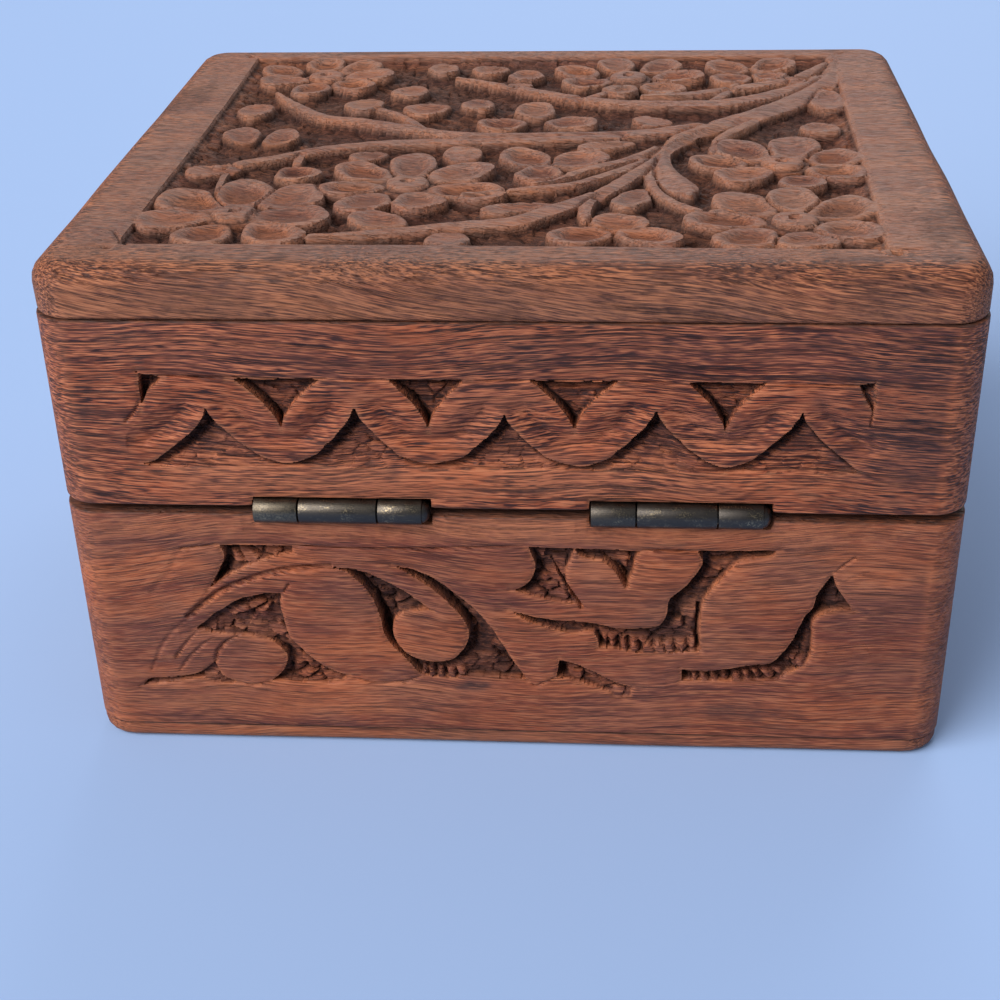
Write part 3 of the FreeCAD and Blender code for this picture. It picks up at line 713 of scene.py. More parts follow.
@dataclass
class LeafScroll:
    """The base wall's frieze: stems that sweep from a corner into broad leaves."""

    stretch: float = 1.0
    seed: int = 23

    def fit(self, points: Sequence[Point]) -> list[Point]:
        """Draws points together across, for a shorter wall."""
        return [(e * self.stretch, z) for e, z in points]

    def shapes(self) -> list[tuple[list[Point], float, Point, float]]:
        """The sunk pieces of ground between the stems and leaves.

        Returns:
            Outline, depth, rise and shallowness of each.
        """
        beside_tip = [
            (-33.0, 27.7), (-33.0, 27.7), (-32.6, 26.4), (-33.2, 24.6), (-34.8, 21.8), (-34.8, 21.8),
            (-33.0, 23.1), (-31.5, 24.1), (-29.5, 25.2), (-27.0, 26.1), (-24.6, 26.7), (-24.6, 26.7),
            (-24.6, 27.7), (-24.6, 27.7),
        ]
        under_stems = [
            (-37.2, 16.0), (-37.2, 16.0), (-34.5, 18.3), (-31.5, 20.3), (-28.4, 21.2), (-26.5, 21.2),
            (-26.5, 21.2), (-26.6, 19.0), (-26.3, 17.0), (-25.8, 15.0), (-25.0, 13.9), (-23.6, 12.3),
            (-21.6, 10.7), (-19.4, 9.7), (-19.4, 9.7), (-20.6, 8.9), (-23.5, 8.6), (-26.0, 8.7),
            (-28.6, 8.8), (-28.6, 8.8), (-27.2, 10.2), (-26.5, 11.8), (-26.7, 13.2), (-27.8, 14.3),
            (-29.4, 14.9), (-31.4, 15.2), (-34.2, 15.4),
        ]
        under_bud = [
            (-44.4, 7.7), (-44.4, 7.7), (-43.4, 8.8), (-40.5, 9.1), (-37.5, 9.7), (-35.2, 11.5),
            (-35.2, 11.5), (-34.9, 10.2), (-34.2, 9.2), (-32.6, 8.5), (-32.6, 8.5), (-34.5, 8.2),
            (-37.5, 8.9), (-41.0, 8.3),
        ]
        round_leaf = [
            (-20.4, 25.0), (-20.4, 25.0), (-17.0, 24.5), (-14.2, 23.2), (-12.0, 21.8), (-10.2, 20.4),
            (-9.0, 19.3), (-9.0, 19.3), (-11.2, 19.1), (-12.9, 18.3), (-13.6, 16.8), (-13.4, 15.0),
            (-12.5, 13.5), (-11.0, 12.5), (-9.0, 12.1), (-7.0, 12.4), (-5.6, 13.6), (-4.8, 15.6),
            (-5.0, 17.4), (-5.9, 19.0), (-7.6, 21.0), (-10.0, 23.2), (-13.0, 25.2), (-13.0, 25.2),
            (-10.4, 24.6), (-8.0, 23.2), (-6.2, 21.7), (-4.3, 19.9), (-2.5, 17.6), (-1.0, 15.0),
            (0.3, 12.4), (1.9, 9.8), (1.9, 9.8), (-1.0, 9.8), (-4.0, 10.1), (-7.0, 9.8), (-9.6, 9.9),
            (-10.8, 10.6), (-12.4, 12.6), (-13.9, 14.4), (-14.7, 16.2), (-15.0, 18.2), (-15.6, 20.4),
            (-16.8, 22.6), (-18.4, 24.2),
        ]
        between_tips = [
            (2.4, 28.0), (2.4, 28.0), (7.7, 27.9), (7.7, 27.9), (7.1, 26.4), (6.6, 24.5), (6.9, 22.3),
            (8.2, 20.3), (8.2, 20.3), (5.5, 20.8), (3.0, 21.4), (0.4, 22.3), (0.4, 22.3), (1.8, 22.8),
            (2.7, 23.9), (3.1, 25.4), (2.8, 26.9),
        ]
        notch = [
            (7.7, 27.9), (7.7, 27.9), (8.0, 27.1), (9.4, 26.5), (11.4, 26.4), (12.5, 25.4),
            (13.5, 23.2), (13.5, 23.2), (14.2, 25.2), (14.6, 27.2), (15.4, 27.8), (15.4, 27.8),
        ]
        around_trefoil = [
            (21.4, 27.9), (21.4, 27.9), (30.0, 28.1), (30.0, 28.1), (29.6, 27.3), (26.8, 26.8),
            (25.2, 25.5), (24.0, 24.0), (22.8, 22.2), (22.0, 20.2), (21.7, 17.6), (22.0, 14.4),
            (22.0, 14.4), (19.0, 13.9), (16.0, 13.8), (13.0, 14.2), (10.4, 14.5), (10.4, 14.5),
            (10.1, 16.1), (9.2, 16.8), (7.4, 16.3), (5.5, 16.8), (2.5, 17.8), (0.2, 19.4), (0.2, 19.4),
            (2.5, 18.7), (5.5, 18.2), (8.5, 18.1), (11.3, 17.5), (13.0, 17.2), (15.5, 17.3),
            (17.4, 17.8), (18.2, 19.5), (18.4, 21.2), (19.8, 22.7), (21.2, 24.6), (22.0, 26.4),
        ]
        under_band = [
            (5.8, 12.7), (5.8, 12.7), (7.5, 12.2), (9.6, 11.2), (11.8, 9.9), (14.3, 8.9), (14.3, 8.9),
            (14.1, 7.7), (12.9, 7.6), (11.2, 8.4), (8.2, 9.5), (5.4, 10.1), (5.4, 10.1),
        ]
        beside_leaf = [
            (20.1, 11.7), (20.1, 11.7), (22.5, 11.5), (25.5, 11.9), (28.0, 12.5), (30.2, 12.7),
            (31.2, 13.8), (32.2, 15.2), (33.0, 17.0), (33.7, 19.2), (34.7, 20.6), (35.1, 22.6),
            (36.5, 25.1), (36.5, 25.1), (37.4, 23.0), (39.1, 20.4), (39.1, 20.4), (36.8, 20.1),
            (34.9, 19.0), (34.8, 16.2), (34.7, 13.6), (33.8, 12.2), (32.2, 11.3), (30.8, 10.3),
            (27.0, 10.2), (23.5, 10.1), (20.1, 10.1), (20.1, 10.1),
        ]
        return [
            (beside_tip, 1.5, (1.0, 0.0), 0.6),
            (under_stems, 1.5, (-1.0, -0.6), 0.55),
            (under_bud, 0.9, (-1.0, 0.0), 0.5),
            (round_leaf, 2.2, (0.0, -1.0), 0.8),
            (between_tips, 1.5, (1.0, -1.0), 0.7),
            (notch, 1.5, (0.0, 0.0), 1.0),
            (around_trefoil, 1.8, (-1.0, 0.0), 0.75),
            (under_band, 1.7, (1.0, -0.4), 0.3),
            (beside_leaf, 1.9, (0.0, 0.0), 1.0),
        ]

    def knife_lines(self) -> list[Groove]:
        """Lines that part the stems, outline the last leaf and mark slips of the knife.

        Returns:
            The knife lines.
        """
        paths = [
            ([(-37.6, 18.0), (-35.5, 20.0), (-33.0, 21.8), (-29.5, 23.4), (-25.5, 24.6), (-20.4, 25.1)],
             0.6, 0.85),
            ([(-41.4, 21.4), (-39.0, 24.4), (-37.8, 26.8)], 0.9, 0.16),
            ([(-39.8, 12.2), (-38.0, 14.6), (-36.0, 16.6)], 0.4, 0.4),
            ([(-43.0, 10.2), (-40.8, 14.6), (-37.5, 18.0), (-35.0, 21.6)], 0.5, 0.22),
            ([(-35.2, 11.4), (-34.7, 13.0), (-33.6, 14.4), (-32.0, 15.2)], 0.45, 0.55),
            ([(-39.6, 10.2), (-37.8, 12.6), (-35.6, 14.6), (-33.0, 15.9)], 0.4, 0.3),
            ([(-32.6, 8.5), (-31.0, 8.2), (-28.6, 8.8)], 0.35, 0.45),
            ([(-25.4, 22.6), (-26.3, 21.2)], 0.3, 0.4),
            ([(-37.5, 27.2), (-30.0, 27.9), (-15.0, 27.6), (2.4, 28.2)], 0.34, 0.45),
            ([(-19.4, 9.6), (-16.0, 8.9), (-12.6, 9.2), (-10.6, 10.0)], 0.4, 0.45),
            ([(2.0, 9.7), (2.9, 9.0), (4.0, 9.5), (5.6, 10.2)], 0.3, 0.4),
            ([(4.8, 26.4), (6.4, 23.4), (8.4, 20.2)], 0.26, 2.0),
            ([(15.2, 27.9), (18.4, 28.0), (21.6, 27.7)], 0.28, 0.5),
            ([(36.5, 25.1), (37.6, 26.4), (38.8, 27.4)], 0.3, 0.35),
            ([(37.3, 23.0), (38.2, 24.6), (40.5, 25.6)], 0.3, 0.14),
            ([(38.7, 17.8), (40.4, 16.4), (41.7, 14.4)], 0.3, 0.16),
            ([(34.9, 16.3), (36.2, 14.8), (36.8, 14.3)], 0.25, 0.2),
            ([(30.0, 28.0), (33.0, 27.8), (36.0, 27.5)], 0.25, 0.14),
            ([(21.75, 20.4), (21.6, 17.4), (21.8, 14.6)], 0.4, 2.6),
            ([(22.4, 26.0), (25.4, 26.8), (29.4, 27.7)], 0.4, 2.4),
            ([(10.4, 27.0), (12.2, 25.6), (13.5, 23.2)], 0.35, 2.2),
            ([(19.4, 21.6), (21.4, 21.2)], 0.35, 2.3),
            ([(-27.0, 20.6), (-29.4, 18.8), (-32.6, 17.6)], 0.4, 1.9),
        ]
        return [Groove(self.fit(points), width, depth) for points, width, depth in paths]

    def stab_rows(self) -> list[Teeth]:
        """Rows of chisel stabs along the lower edges of some pockets.

        Returns:
            The rows.
        """
        paths = [
            ([(20.2, 10.8), (24.0, 10.9), (28.0, 11.2), (31.5, 11.9), (33.8, 13.4)], 1.15, 1.3),
            ([(10.6, 14.8), (14.0, 14.4), (18.0, 14.2), (22.0, 14.6)], 1.3, 1.5),
            ([(-10.6, 10.4), (-8.6, 10.1), (-6.0, 10.2)], 1.2, 1.0),
        ]
        return [Teeth(self.fit(points), pitch, reach) for points, pitch, reach in paths]

    def carving(self, spots: Sequence[Spot], notches: Sequence[Sequence[Point]]) -> PocketCarving:
        """The frieze as a carving.

        Args:
            spots: the board's stains and painted shade.
            notches: outlines of its hinge recesses.

        Returns:
            The carving.
        """
        pockets = []
        for points, depth, rise, shallow in self.shapes():
            pockets.append(Pocket(self.fit(points), depth, rise, shallow, rough=1.3))
        return PocketCarving(
            pockets, self.knife_lines(), self.stab_rows(), spots, notches, seed=self.seed,
            chip=(2.2, 1.4))


# The lid panel's flowering branch.


def uneven_top(p: Array, q: Array) -> Array:
    """The panel's planed upper face: slow noise up to 0.1 mm below its plane."""
    return 0.05 * smooth_noise(p, q, (11.0, 5.0), 3) - 0.05


@dataclass(frozen=True)
class Petal:
    """An egg-shaped petal or leaf with a hollow: middle, half sizes and the way it points."""

    across: float
    up: float
    long: float
    wide: float
    way: float
    level: float = -0.35
    cup: float = 0.40
    tilt: float = 0.26

    def bounds(self) -> Array:
        """Lowest and highest corner."""
        reach = max(self.long, self.wide)
        return np.array([(self.across - reach, self.up - reach), (self.across + reach, self.up + reach)])

    def shape(self, p: Array, q: Array) -> tuple[Array, Array]:
        """Signed distance to the petal, and its height.

        The distance is k (k - 1) / m, where k is the length of the place divided
        by the half sizes and m is its length divided by their squares. The egg
        is widest past its middle, and k is changed by up to 7 percent round it, as
        a knife leaves it. The top is hollowed by the cup, flat to k = 0.4 and
        rising to the rim at k = 0.86, and rolls down by 0.12 from k = 0.9 to 1.

        Args:
            p, q: places across and up.

        Returns:
            The distance, negative inside, and the height.
        """
        c, s = math.cos(self.way), math.sin(self.way)
        a, b = p - self.across, q - self.up
        along, aside = a * c + b * s, b * c - a * s
        wide = self.wide * (1.0 + 0.16 * np.clip(along / self.long, -1, 1))
        k = np.hypot(along / self.long, aside / wide)
        m = np.hypot(along / self.long**2, aside / wide**2)
        turn, phase = np.arctan2(aside, along), 1.7 * self.across + 2.3 * self.up
        k = k * (1 + 0.04 * np.sin(3 * turn + phase) + 0.03 * np.sin(5 * turn + 2 * phase))
        distance = np.where(m > 1e-9, k * (k - 1) / np.maximum(m, 1e-9), -min(self.long, self.wide))
        hollow = self.cup * (1 - ease(k, 0.40, 0.86))
        roll = 0.12 * (np.clip(k - 0.9, 0, 0.1) / 0.1) ** 2
        top = self.level - hollow - roll + self.tilt * np.clip(along / self.long, -1, 1)
        return distance, top


@dataclass(frozen=True)
class Boss:
    """The round heart of a flower, with a punched hole."""

    across: float
    up: float
    radius: float = 2.4
    level: float = -0.04

    def bounds(self) -> Array:
        """Lowest and highest corner."""
        r = self.radius
        return np.array([(self.across - r, self.up - r), (self.across + r, self.up + r)])

    def shape(self, p: Array, q: Array) -> tuple[Array, Array]:
        """Signed distance to the disc, and its domed top with a hole in the middle.

        The top falls as the sixth power of the share of the radius.

        Args:
            p, q: places across and up.

        Returns:
            The distance, negative inside, and the height.
        """
        r = np.hypot(p - self.across, q - self.up)
        dome = 0.22 * np.minimum(r / self.radius, 1) ** 6
        hole = 1.2 * (1 - ease(r, 0.42, 0.80))
        return r - self.radius, self.level - dome - hole


@dataclass(frozen=True)
class Stem:
    """A branch along a path of places and half widths, with a ridge along its back."""

    points: Sequence[Vector3]
    level: float = -0.1
    ridge: float = -0.15
    fall: float = 0.4

    def bounds(self) -> Array:
        """Lowest and highest corner."""
        path = np.asarray(self.points, float)
        return np.array([path[:, :2].min(0) - path[:, 2].max(), path[:, :2].max(0) + path[:, 2].max()])

    def shape(self, p: Array, q: Array) -> tuple[Array, Array]:
        """Signed distance to the branch, and its back.

        The distance is that to the path less the half width there. The share of
        the half width runs from -1 to 1 across the branch. From the ridge the
        back falls to both sides as a power of the share, steeper at the edges.

        Args:
            p, q: places across and up.

        Returns:
            The distance, negative inside, and the height.
        """
        path = open_curve(self.points)
        d, along, side = nearest_on_path(p, q, path[:, :2])
        half = np.maximum(np.interp(along, np.arange(len(path)), path[:, 2]), 0.05)
        off = np.clip(d / half, 0, 1) * side - self.ridge
        slope = np.abs(off) / np.where(off > 0, 1 - self.ridge, 1 + self.ridge)
        top = self.level - self.fall * np.minimum(half, 1.6) / 1.6 * np.clip(slope, 0, 1) ** 1.3
        return d - half, top


Motif = Petal | Boss | Stem


@dataclass
class FloweringBranch(Carving):
    """The lid's sunk field, with flowers, leaves and stems left standing in it.

    The heart is the radius and the level of the wood round each boss, and the worn
    edge is the width and the depth to which the border is rubbed down beside the field.
    """

    outline: Sequence[Point] = (
        (-41.8, -39.2), (-41.8, -39.2), (-20.0, -39.5), (8.0, -39.2), (42.6, -39.4), (42.6, -39.4),
        (41.6, -15.0), (41.0, 12.0), (40.2, 38.2), (40.2, 38.2), (20.0, 37.9), (0.0, 37.5),
        (-22.0, 37.2), (-42.2, 37.2), (-42.2, 37.2), (-41.9, 15.0), (-41.6, -12.0),
    )
    depth: float = 1.75
    slope: float = 5.0
    foot: float = 0.26
    crevice_shade: float = 0.55
    margin: float = 1.2
    slit: float = 0.65
    slit_width: float = 0.55
    heart: Point = (3.3, -0.8)
    chipping: float = 0.7
    chip_size: Point = (1.5, 1.3)
    wall_fall: float = 2.8
    worn_edge: Point = (0.35, 0.16)
    seed: int = 41

    def __post_init__(self) -> None:
        """Gathers the motifs and the field's outline."""
        self.edge = closed_curve(self.outline)
        self.parts: list[Motif] = self.flowers() + self.leaves() + self.stems()
        self.bosses = [part for part in self.parts if isinstance(part, Boss)]
        self.slips = [
            Groove([(-43.4, 33.6), (-42.2, 36.0), (-41.0, 37.6)], 0.3, 0.6),
            Groove([(-44.6, 36.2), (-42.0, 36.3)], 0.22, 0.3),
            Groove([(39.3, 38.0), (39.4, 40.0), (39.1, 41.6)], 0.22, 0.45),
            Groove([(39.8, 38.3), (41.5, 38.5), (43.4, 38.4)], 0.24, 0.5),
            Groove([(46.3, 29.6), (47.4, 31.4), (48.0, 33.8)], 0.2, 0.35),
            Groove([(47.6, 13.0), (48.0, 15.0), (48.3, 17.2)], 0.2, 0.35),
            Groove([(-43.6, 25.0), (-41.9, 25.2)], 0.2, 0.3),
            Groove([(37.8, 30.0), (40.3, 29.6)], 0.2, 0.3),
        ]

    def flower(
        self, heart: Point, petals: Sequence[tuple[float, float, float, float]], boss: bool = True
    ) -> list[Motif]:
        """Petals that point away from a heart, and the heart's boss.

        Args:
            heart: the flower's middle.
            petals: middle, half length and half width of each petal.
            boss: whether the heart has a boss.

        Returns:
            The petals, and the boss last.
        """
        made: list[Motif] = []
        for i, (e, y, long, wide) in enumerate(petals):
            way = math.atan2(y - heart[1], e - heart[0])
            level = -0.28 + 0.12 * math.sin(2.6 * i + heart[0])
            cup = 0.66 + 0.2 * math.sin(1.9 * i + heart[1])
            made.append(Petal(e, y, 1.12 * long, 1.14 * wide, way, level, cup))
        return made + ([Boss(*heart)] if boss else [])

    def flowers(self) -> list[Motif]:
        """All the flowers, near ones first.

        Returns:
            Their petals and bosses.
        """
        near_left = [
            (-31.8, 20.4, 3.8, 3.1), (-25.9, 21.7, 3.6, 3.1), (-25.0, 27.5, 4.2, 2.8),
            (-26.1, 33.2, 3.9, 2.7), (-33.6, 33.3, 3.2, 2.8), (-38.3, 28.8, 3.8, 2.6),
            (-37.3, 22.9, 4.2, 2.8),
        ]
        middle_left = [
            (-13.0, 10.2, 4.0, 2.4), (-7.0, 12.9, 3.7, 2.6), (-5.6, 18.9, 4.3, 2.7),
            (-11.0, 22.7, 3.0, 2.6), (-17.1, 22.7, 3.3, 2.5), (-18.6, 12.4, 3.6, 2.4),
            (-19.5, 18.3, 3.6, 1.9),
        ]
        near_right = [
            (26.3, 23.8, 3.6, 2.8), (31.6, 22.3, 3.0, 2.6), (36.9, 24.9, 3.8, 2.8),
            (36.9, 32.0, 3.4, 2.6), (32.0, 34.6, 2.5, 2.9), (25.9, 34.3, 3.5, 2.7),
            (23.8, 28.7, 4.0, 2.5),
        ]
        middle_right = [
            (27.0, 4.3, 3.9, 2.8), (33.2, 3.6, 3.7, 2.7), (37.8, 6.9, 2.9, 2.7), (37.6, 12.3, 3.3, 2.4),
            (33.3, 15.5, 2.6, 2.4), (26.7, 13.2, 3.5, 2.5), (24.0, 8.8, 3.1, 2.3),
        ]
        far_left = [
            (-31.0, -36.0, 2.8, 2.3), (-25.8, -35.2, 3.0, 2.2), (-23.8, -30.8, 3.2, 2.3),
            (-25.6, -25.8, 3.1, 2.4), (-31.2, -24.2, 3.2, 2.3), (-35.8, -27.8, 3.1, 2.2),
            (-36.8, -33.4, 2.8, 2.2),
        ]
        far_middle = [
            (6.0, -32.0, 2.9, 2.3), (11.4, -35.2, 2.7, 2.2), (17.6, -34.8, 3.0, 2.3),
            (20.0, -29.4, 3.2, 2.4), (17.6, -24.2, 3.2, 2.4), (12.0, -22.8, 2.6, 2.1),
            (7.2, -26.6, 3.1, 2.3),
        ]
        far_right = [
            (27.2, -34.4, 3.0, 2.4), (33.4, -34.6, 3.2, 2.4), (27.4, -28.6, 2.8, 2.4),
            (32.6, -29.2, 2.4, 2.0),
        ]
        middle = [(0.8, -12.6, 2.6, 2.3), (5.6, -7.8, 3.1, 2.3), (-3.2, -7.0, 2.9, 2.2)]
        near_bud = [(8.0, 33.3, 3.4, 2.2), (15.2, 33.9, 3.6, 2.1), (12.0, 29.5, 2.0, 2.9)]
        middle_bud = [(0.7, 6.9, 3.2, 2.5), (7.0, 7.6, 3.3, 2.6), (2.6, 12.9, 3.1, 2.4)]
        full = (
            ((-31.4, 26.9), near_left), ((-12.9, 16.5), middle_left), ((31.35, 28.75), near_right),
            ((31.5, 9.0), middle_right), ((-30.0, -30.0), far_left), ((13.0, -29.2), far_middle),
        )
        half_open = (
            ((30.3, -31.6), far_right), ((1.2, -8.9), middle), ((11.6, 31.8), near_bud),
            ((3.4, 9.3), middle_bud),
        )
        made: list[Motif] = []
        for heart, petals in full:
            made += self.flower(heart, petals)
        for heart, petals in half_open:
            made += self.flower(heart, petals, boss=False)
        return made

    def leaves(self) -> list[Motif]:
        """Single leaves and buds, given by middle, half sizes, turn in degrees and hollow.

        Returns:
            The leaves and buds.
        """
        shapes = [
            (-26.9, 12.4, 3.1, 2.7, 60, 0.75), (-37.4, 11.5, 3.4, 1.9, 160, 0.2),
            (-14.8, 28.7, 3.5, 2.5, 200, 0.4), (-6.4, 34.6, 2.7, 2.4, 90, 0.1),
            (0.4, 24.6, 4.4, 1.5, 160, 0.3), (13.6, 21.4, 3.8, 2.0, 108, 0.3),
            (-7.4, 5.6, 2.5, 2.4, 270, 0.1), (39.3, -18.2, 5.6, 2.4, 92, 0.2),
            (37.4, -5.5, 2.8, 2.5, 90, 0.3), (16.2, -8.2, 2.6, 2.0, 180, 0.1),
            (-17.0, -22.8, 3.2, 2.5, 100, 0.3), (-13.6, -34.4, 3.4, 2.2, 80, 0.3),
            (-6.6, -33.6, 2.9, 2.5, 120, 0.4), (-1.4, -30.8, 3.4, 2.4, 90, 0.4),
            (-22.5, -16.4, 3.3, 2.6, 100, 0.3), (-13.8, -14.2, 3.4, 2.7, 130, 0.4),
            (-7.2, -16.4, 3.0, 2.2, 80, 0.3), (-37.0, -14.0, 3.6, 2.3, 95, 0.2),
            (-36.5, -2.4, 2.9, 2.3, 250, 0.4), (-31.4, -1.6, 3.0, 2.1, 290, 0.4),
            (36.2, -27.0, 2.6, 1.7, 60, 0.2), (-19.0, 6.0, 2.6, 1.8, 140, 0.3),
            (10.4, 1.8, 3.9, 1.6, 154, 0.3), (-2.2, -25.2, 2.2, 1.6, 60, 0.2),
        ]
        return [Petal(e, y, a, b, math.radians(t), -0.4, c) for e, y, a, b, t, c in shapes]

    def stems(self) -> list[Motif]:
        """The main branch from the far corner, its side branches and the twigs.

        Returns:
            The stems, thick ones first.
        """
        main = [
            (43.2, -42.0, 1.2), (42.0, -33.0, 1.5), (39.4, -24.8, 1.8), (35.2, -17.4, 2.0),
            (30.3, -11.7, 2.0), (25.6, -7.4, 1.9), (21.6, -3.6, 1.6), (18.9, 0.6, 1.3),
            (17.2, 4.5, 1.1), (15.9, 9.0, 1.0), (13.4, 14.2, 1.0), (10.6, 19.2, 1.1), (7.6, 22.6, 1.2),
            (3.9, 26.2, 1.35), (0.6, 29.2, 1.35), (-3.3, 30.4, 1.1), (-7.6, 31.4, 0.9),
            (-11.9, 32.6, 0.8), (-16.2, 33.8, 0.6), (-22.6, 34.8, 0.3),
        ]
        first = [
            (42.8, -37.5, 0.8), (36.9, -29.0, 1.0), (32.5, -25.5, 0.95), (26.9, -22.9, 0.85),
            (21.4, -20.5, 0.7), (15.0, -19.4, 0.35),
        ]
        upper = [
            (42.6, -34.5, 0.9), (41.0, -30.4, 1.2), (37.6, -25.2, 1.35), (33.2, -20.9, 1.4),
            (29.2, -18.0, 1.35), (25.2, -16.2, 1.3), (21.2, -15.8, 1.25), (15.9, -15.9, 1.2),
            (11.5, -16.4, 1.1), (6.3, -18.4, 1.0), (2.8, -20.3, 0.8), (-2.0, -23.2, 0.6),
            (-11.0, -28.4, 0.3),
        ]
        lower = [
            (27.4, -8.6, 1.3), (26.1, -7.4, 1.25), (20.9, -5.3, 1.25), (15.8, -3.2, 1.15),
            (10.7, -2.3, 1.05), (4.4, -2.0, 1.0), (-3.3, -1.7, 1.0), (-9.7, -2.6, 0.95),
            (-14.0, -4.6, 0.9), (-21.5, -8.0, 0.85), (-27.5, -10.4, 0.8), (-33.0, -17.0, 0.6),
            (-35.4, -21.0, 0.3),
        ]
        second = [
            (12.0, -1.9, 0.9), (4.0, -0.6, 1.0), (-6.0, 0.2, 1.1), (-16.0, 0.8, 1.15), (-24.0, 2.9, 1.1),
            (-31.0, 7.2, 0.9), (-37.0, 10.6, 0.5),
        ]
        third = [
            (24.4, -5.6, 1.0), (21.2, -2.6, 1.0), (18.6, 0.8, 0.95), (15.8, 4.8, 0.8), (12.2, 8.7, 0.7),
            (8.6, 11.3, 0.65), (5.1, 14.7, 0.6), (2.0, 16.8, 0.35),
        ]
        fourth = [
            (16.4, 6.6, 0.8), (14.2, 9.6, 0.7), (10.4, 13.6, 0.65), (6.8, 16.8, 0.6), (3.4, 18.1, 0.55),
            (-1.8, 19.5, 0.45), (-6.0, 20.6, 0.3),
        ]
        spoon = [
            (21.6, -4.2, 0.9), (20.0, -1.0, 1.1), (18.4, 2.2, 1.15), (17.2, 5.2, 1.15),
            (17.0, 8.5, 1.15), (17.5, 12.5, 1.35), (18.6, 16.2, 1.8), (19.5, 18.6, 1.75),
            (20.0, 20.8, 0.5),
        ]
        return [
            Stem(main, -0.02, 0.25, 0.5),
            Stem(first, -0.12, 0.2),
            Stem(upper, -0.06, 0.2),
            Stem(lower, -0.06, 0.2),
            Stem(second, -0.15),
            Stem(third, -0.10),
            Stem(fourth, -0.18),
            Stem(spoon, -0.06, -0.3),
            Stem([(-35.2, 9.6, 0.4), (-35.5, 14.0, 0.38), (-35.0, 20.5, 0.35)], -0.4),
            Stem([(15.9, 11.5, 0.5), (15.6, 15.0, 0.55), (16.2, 18.9, 0.55), (17.4, 21.8, 0.55),
                  (19.0, 24.1, 0.5), (21.1, 26.1, 0.5), (22.6, 26.9, 0.3)], -0.2),
            Stem([(29.0, -8.0, 0.9), (27.0, -4.6, 0.85), (25.0, -1.4, 0.75), (23.9, 1.6, 0.65),
                  (23.4, 4.6, 0.5)], -0.15),
            Stem([(9.8, 20.2, 0.8), (8.6, 23.1, 0.8), (8.2, 26.4, 0.7), (8.4, 28.6, 0.6)], -0.1),
            Stem([(-27.6, 5.2, 0.6), (-27.4, 9.6, 0.5)], -0.35),
            Stem([(6.0, -17.6, 0.7), (9.4, -20.8, 0.6), (12.0, -25.0, 0.4)], -0.3),
            Stem([(24.0, -16.6, 0.7), (26.6, -22.0, 0.6), (28.4, -27.0, 0.4)], -0.3),
            Stem([(-13.4, -5.0, 0.7), (-17.0, -11.0, 0.6), (-21.0, -14.6, 0.4)], -0.3),
        ]

    def stains_and_shade(self) -> Sequence[Spot]:
        """Dark stains on the panel's border.

        Returns:
            The stains.
        """
        return (
            Spot(-23.6, 41.5, 1.5, 1.2, 0.75), Spot(-37.4, 39.6, 0.9, 0.5, 0.6),
            Spot(26.0, 43.0, 6.0, 2.2, 0.5), Spot(43.0, 27.0, 1.4, 3.0, 0.35),
            Spot(46.2, 41.0, 2.5, 2.0, 0.45), Spot(-45.0, 40.0, 4.0, 3.5, 0.35),
            Spot(-32.0, 44.3, 8.0, 1.0, 0.4), Spot(16.0, 44.3, 12.0, 0.9, 0.4),
            Spot(40.0, 44.2, 7.0, 1.4, 0.5), Spot(0.0, 41.5, 60.0, 5.0, 0.22),
        )

    def dust(self, p: Array, q: Array, height: Array) -> Array:
        """Dust, with painted sheen, lies on the border, and thinly on what stands high in the field."""
        edge = distance_to_outline(p, q, self.edge)
        return np.where(edge > 0, 1.0, 1.1 * ease(height, -1.0, -0.3))

    def standing(self, p: Array, q: Array) -> tuple[Array, Array]:
        """Least distance to any motif, and the highest of their tops and sloping sides.

        A side falls by the slope for each millimetre outside its motif. Where two
        motifs touch, a slit parts them: it lies where their distances s and t are
        equal, and falls away as 1 - (t - s) / slit_width. Round each boss the wood between
        the petals stays at the heart's level, so that no gap there goes down to the ground.

        Args:
            p, q: places across and up.

        Returns:
            The distances and the heights.
        """
        s, second, top = np.full(p.shape, 9.0), np.full(p.shape, 9.0), np.full(p.shape, -9.0)
        for part in self.parts:
            w = self.near(p, q, part.bounds())
            distance, height = part.shape(p[w], q[w])
            second[w] = np.minimum(second[w], np.maximum(s[w], distance))
            s[w] = np.minimum(s[w], distance)
            top[w] = np.maximum(top[w], height - self.slope * np.maximum(distance, 0.0))
        slit = np.clip(1 - (second - s) / self.slit_width, 0, 1)
        slit *= (1 - ease(second, 0.0, 0.4)) * ease(s, -1.6, -0.6)
        top = top - self.slit * slit
        radius, level = self.heart
        for boss in self.bosses:
            away = np.hypot(p - boss.across, q - boss.up) - radius
            top = np.maximum(top, level - self.slope * np.maximum(away, 0.0))
        return s, top

    def cut(self, p: Array, q: Array) -> Array:
        """Signed distance to the ground: inside the field and outside every motif."""
        return np.maximum(distance_to_outline(p, q, self.edge), -self.standing(p, q)[0])

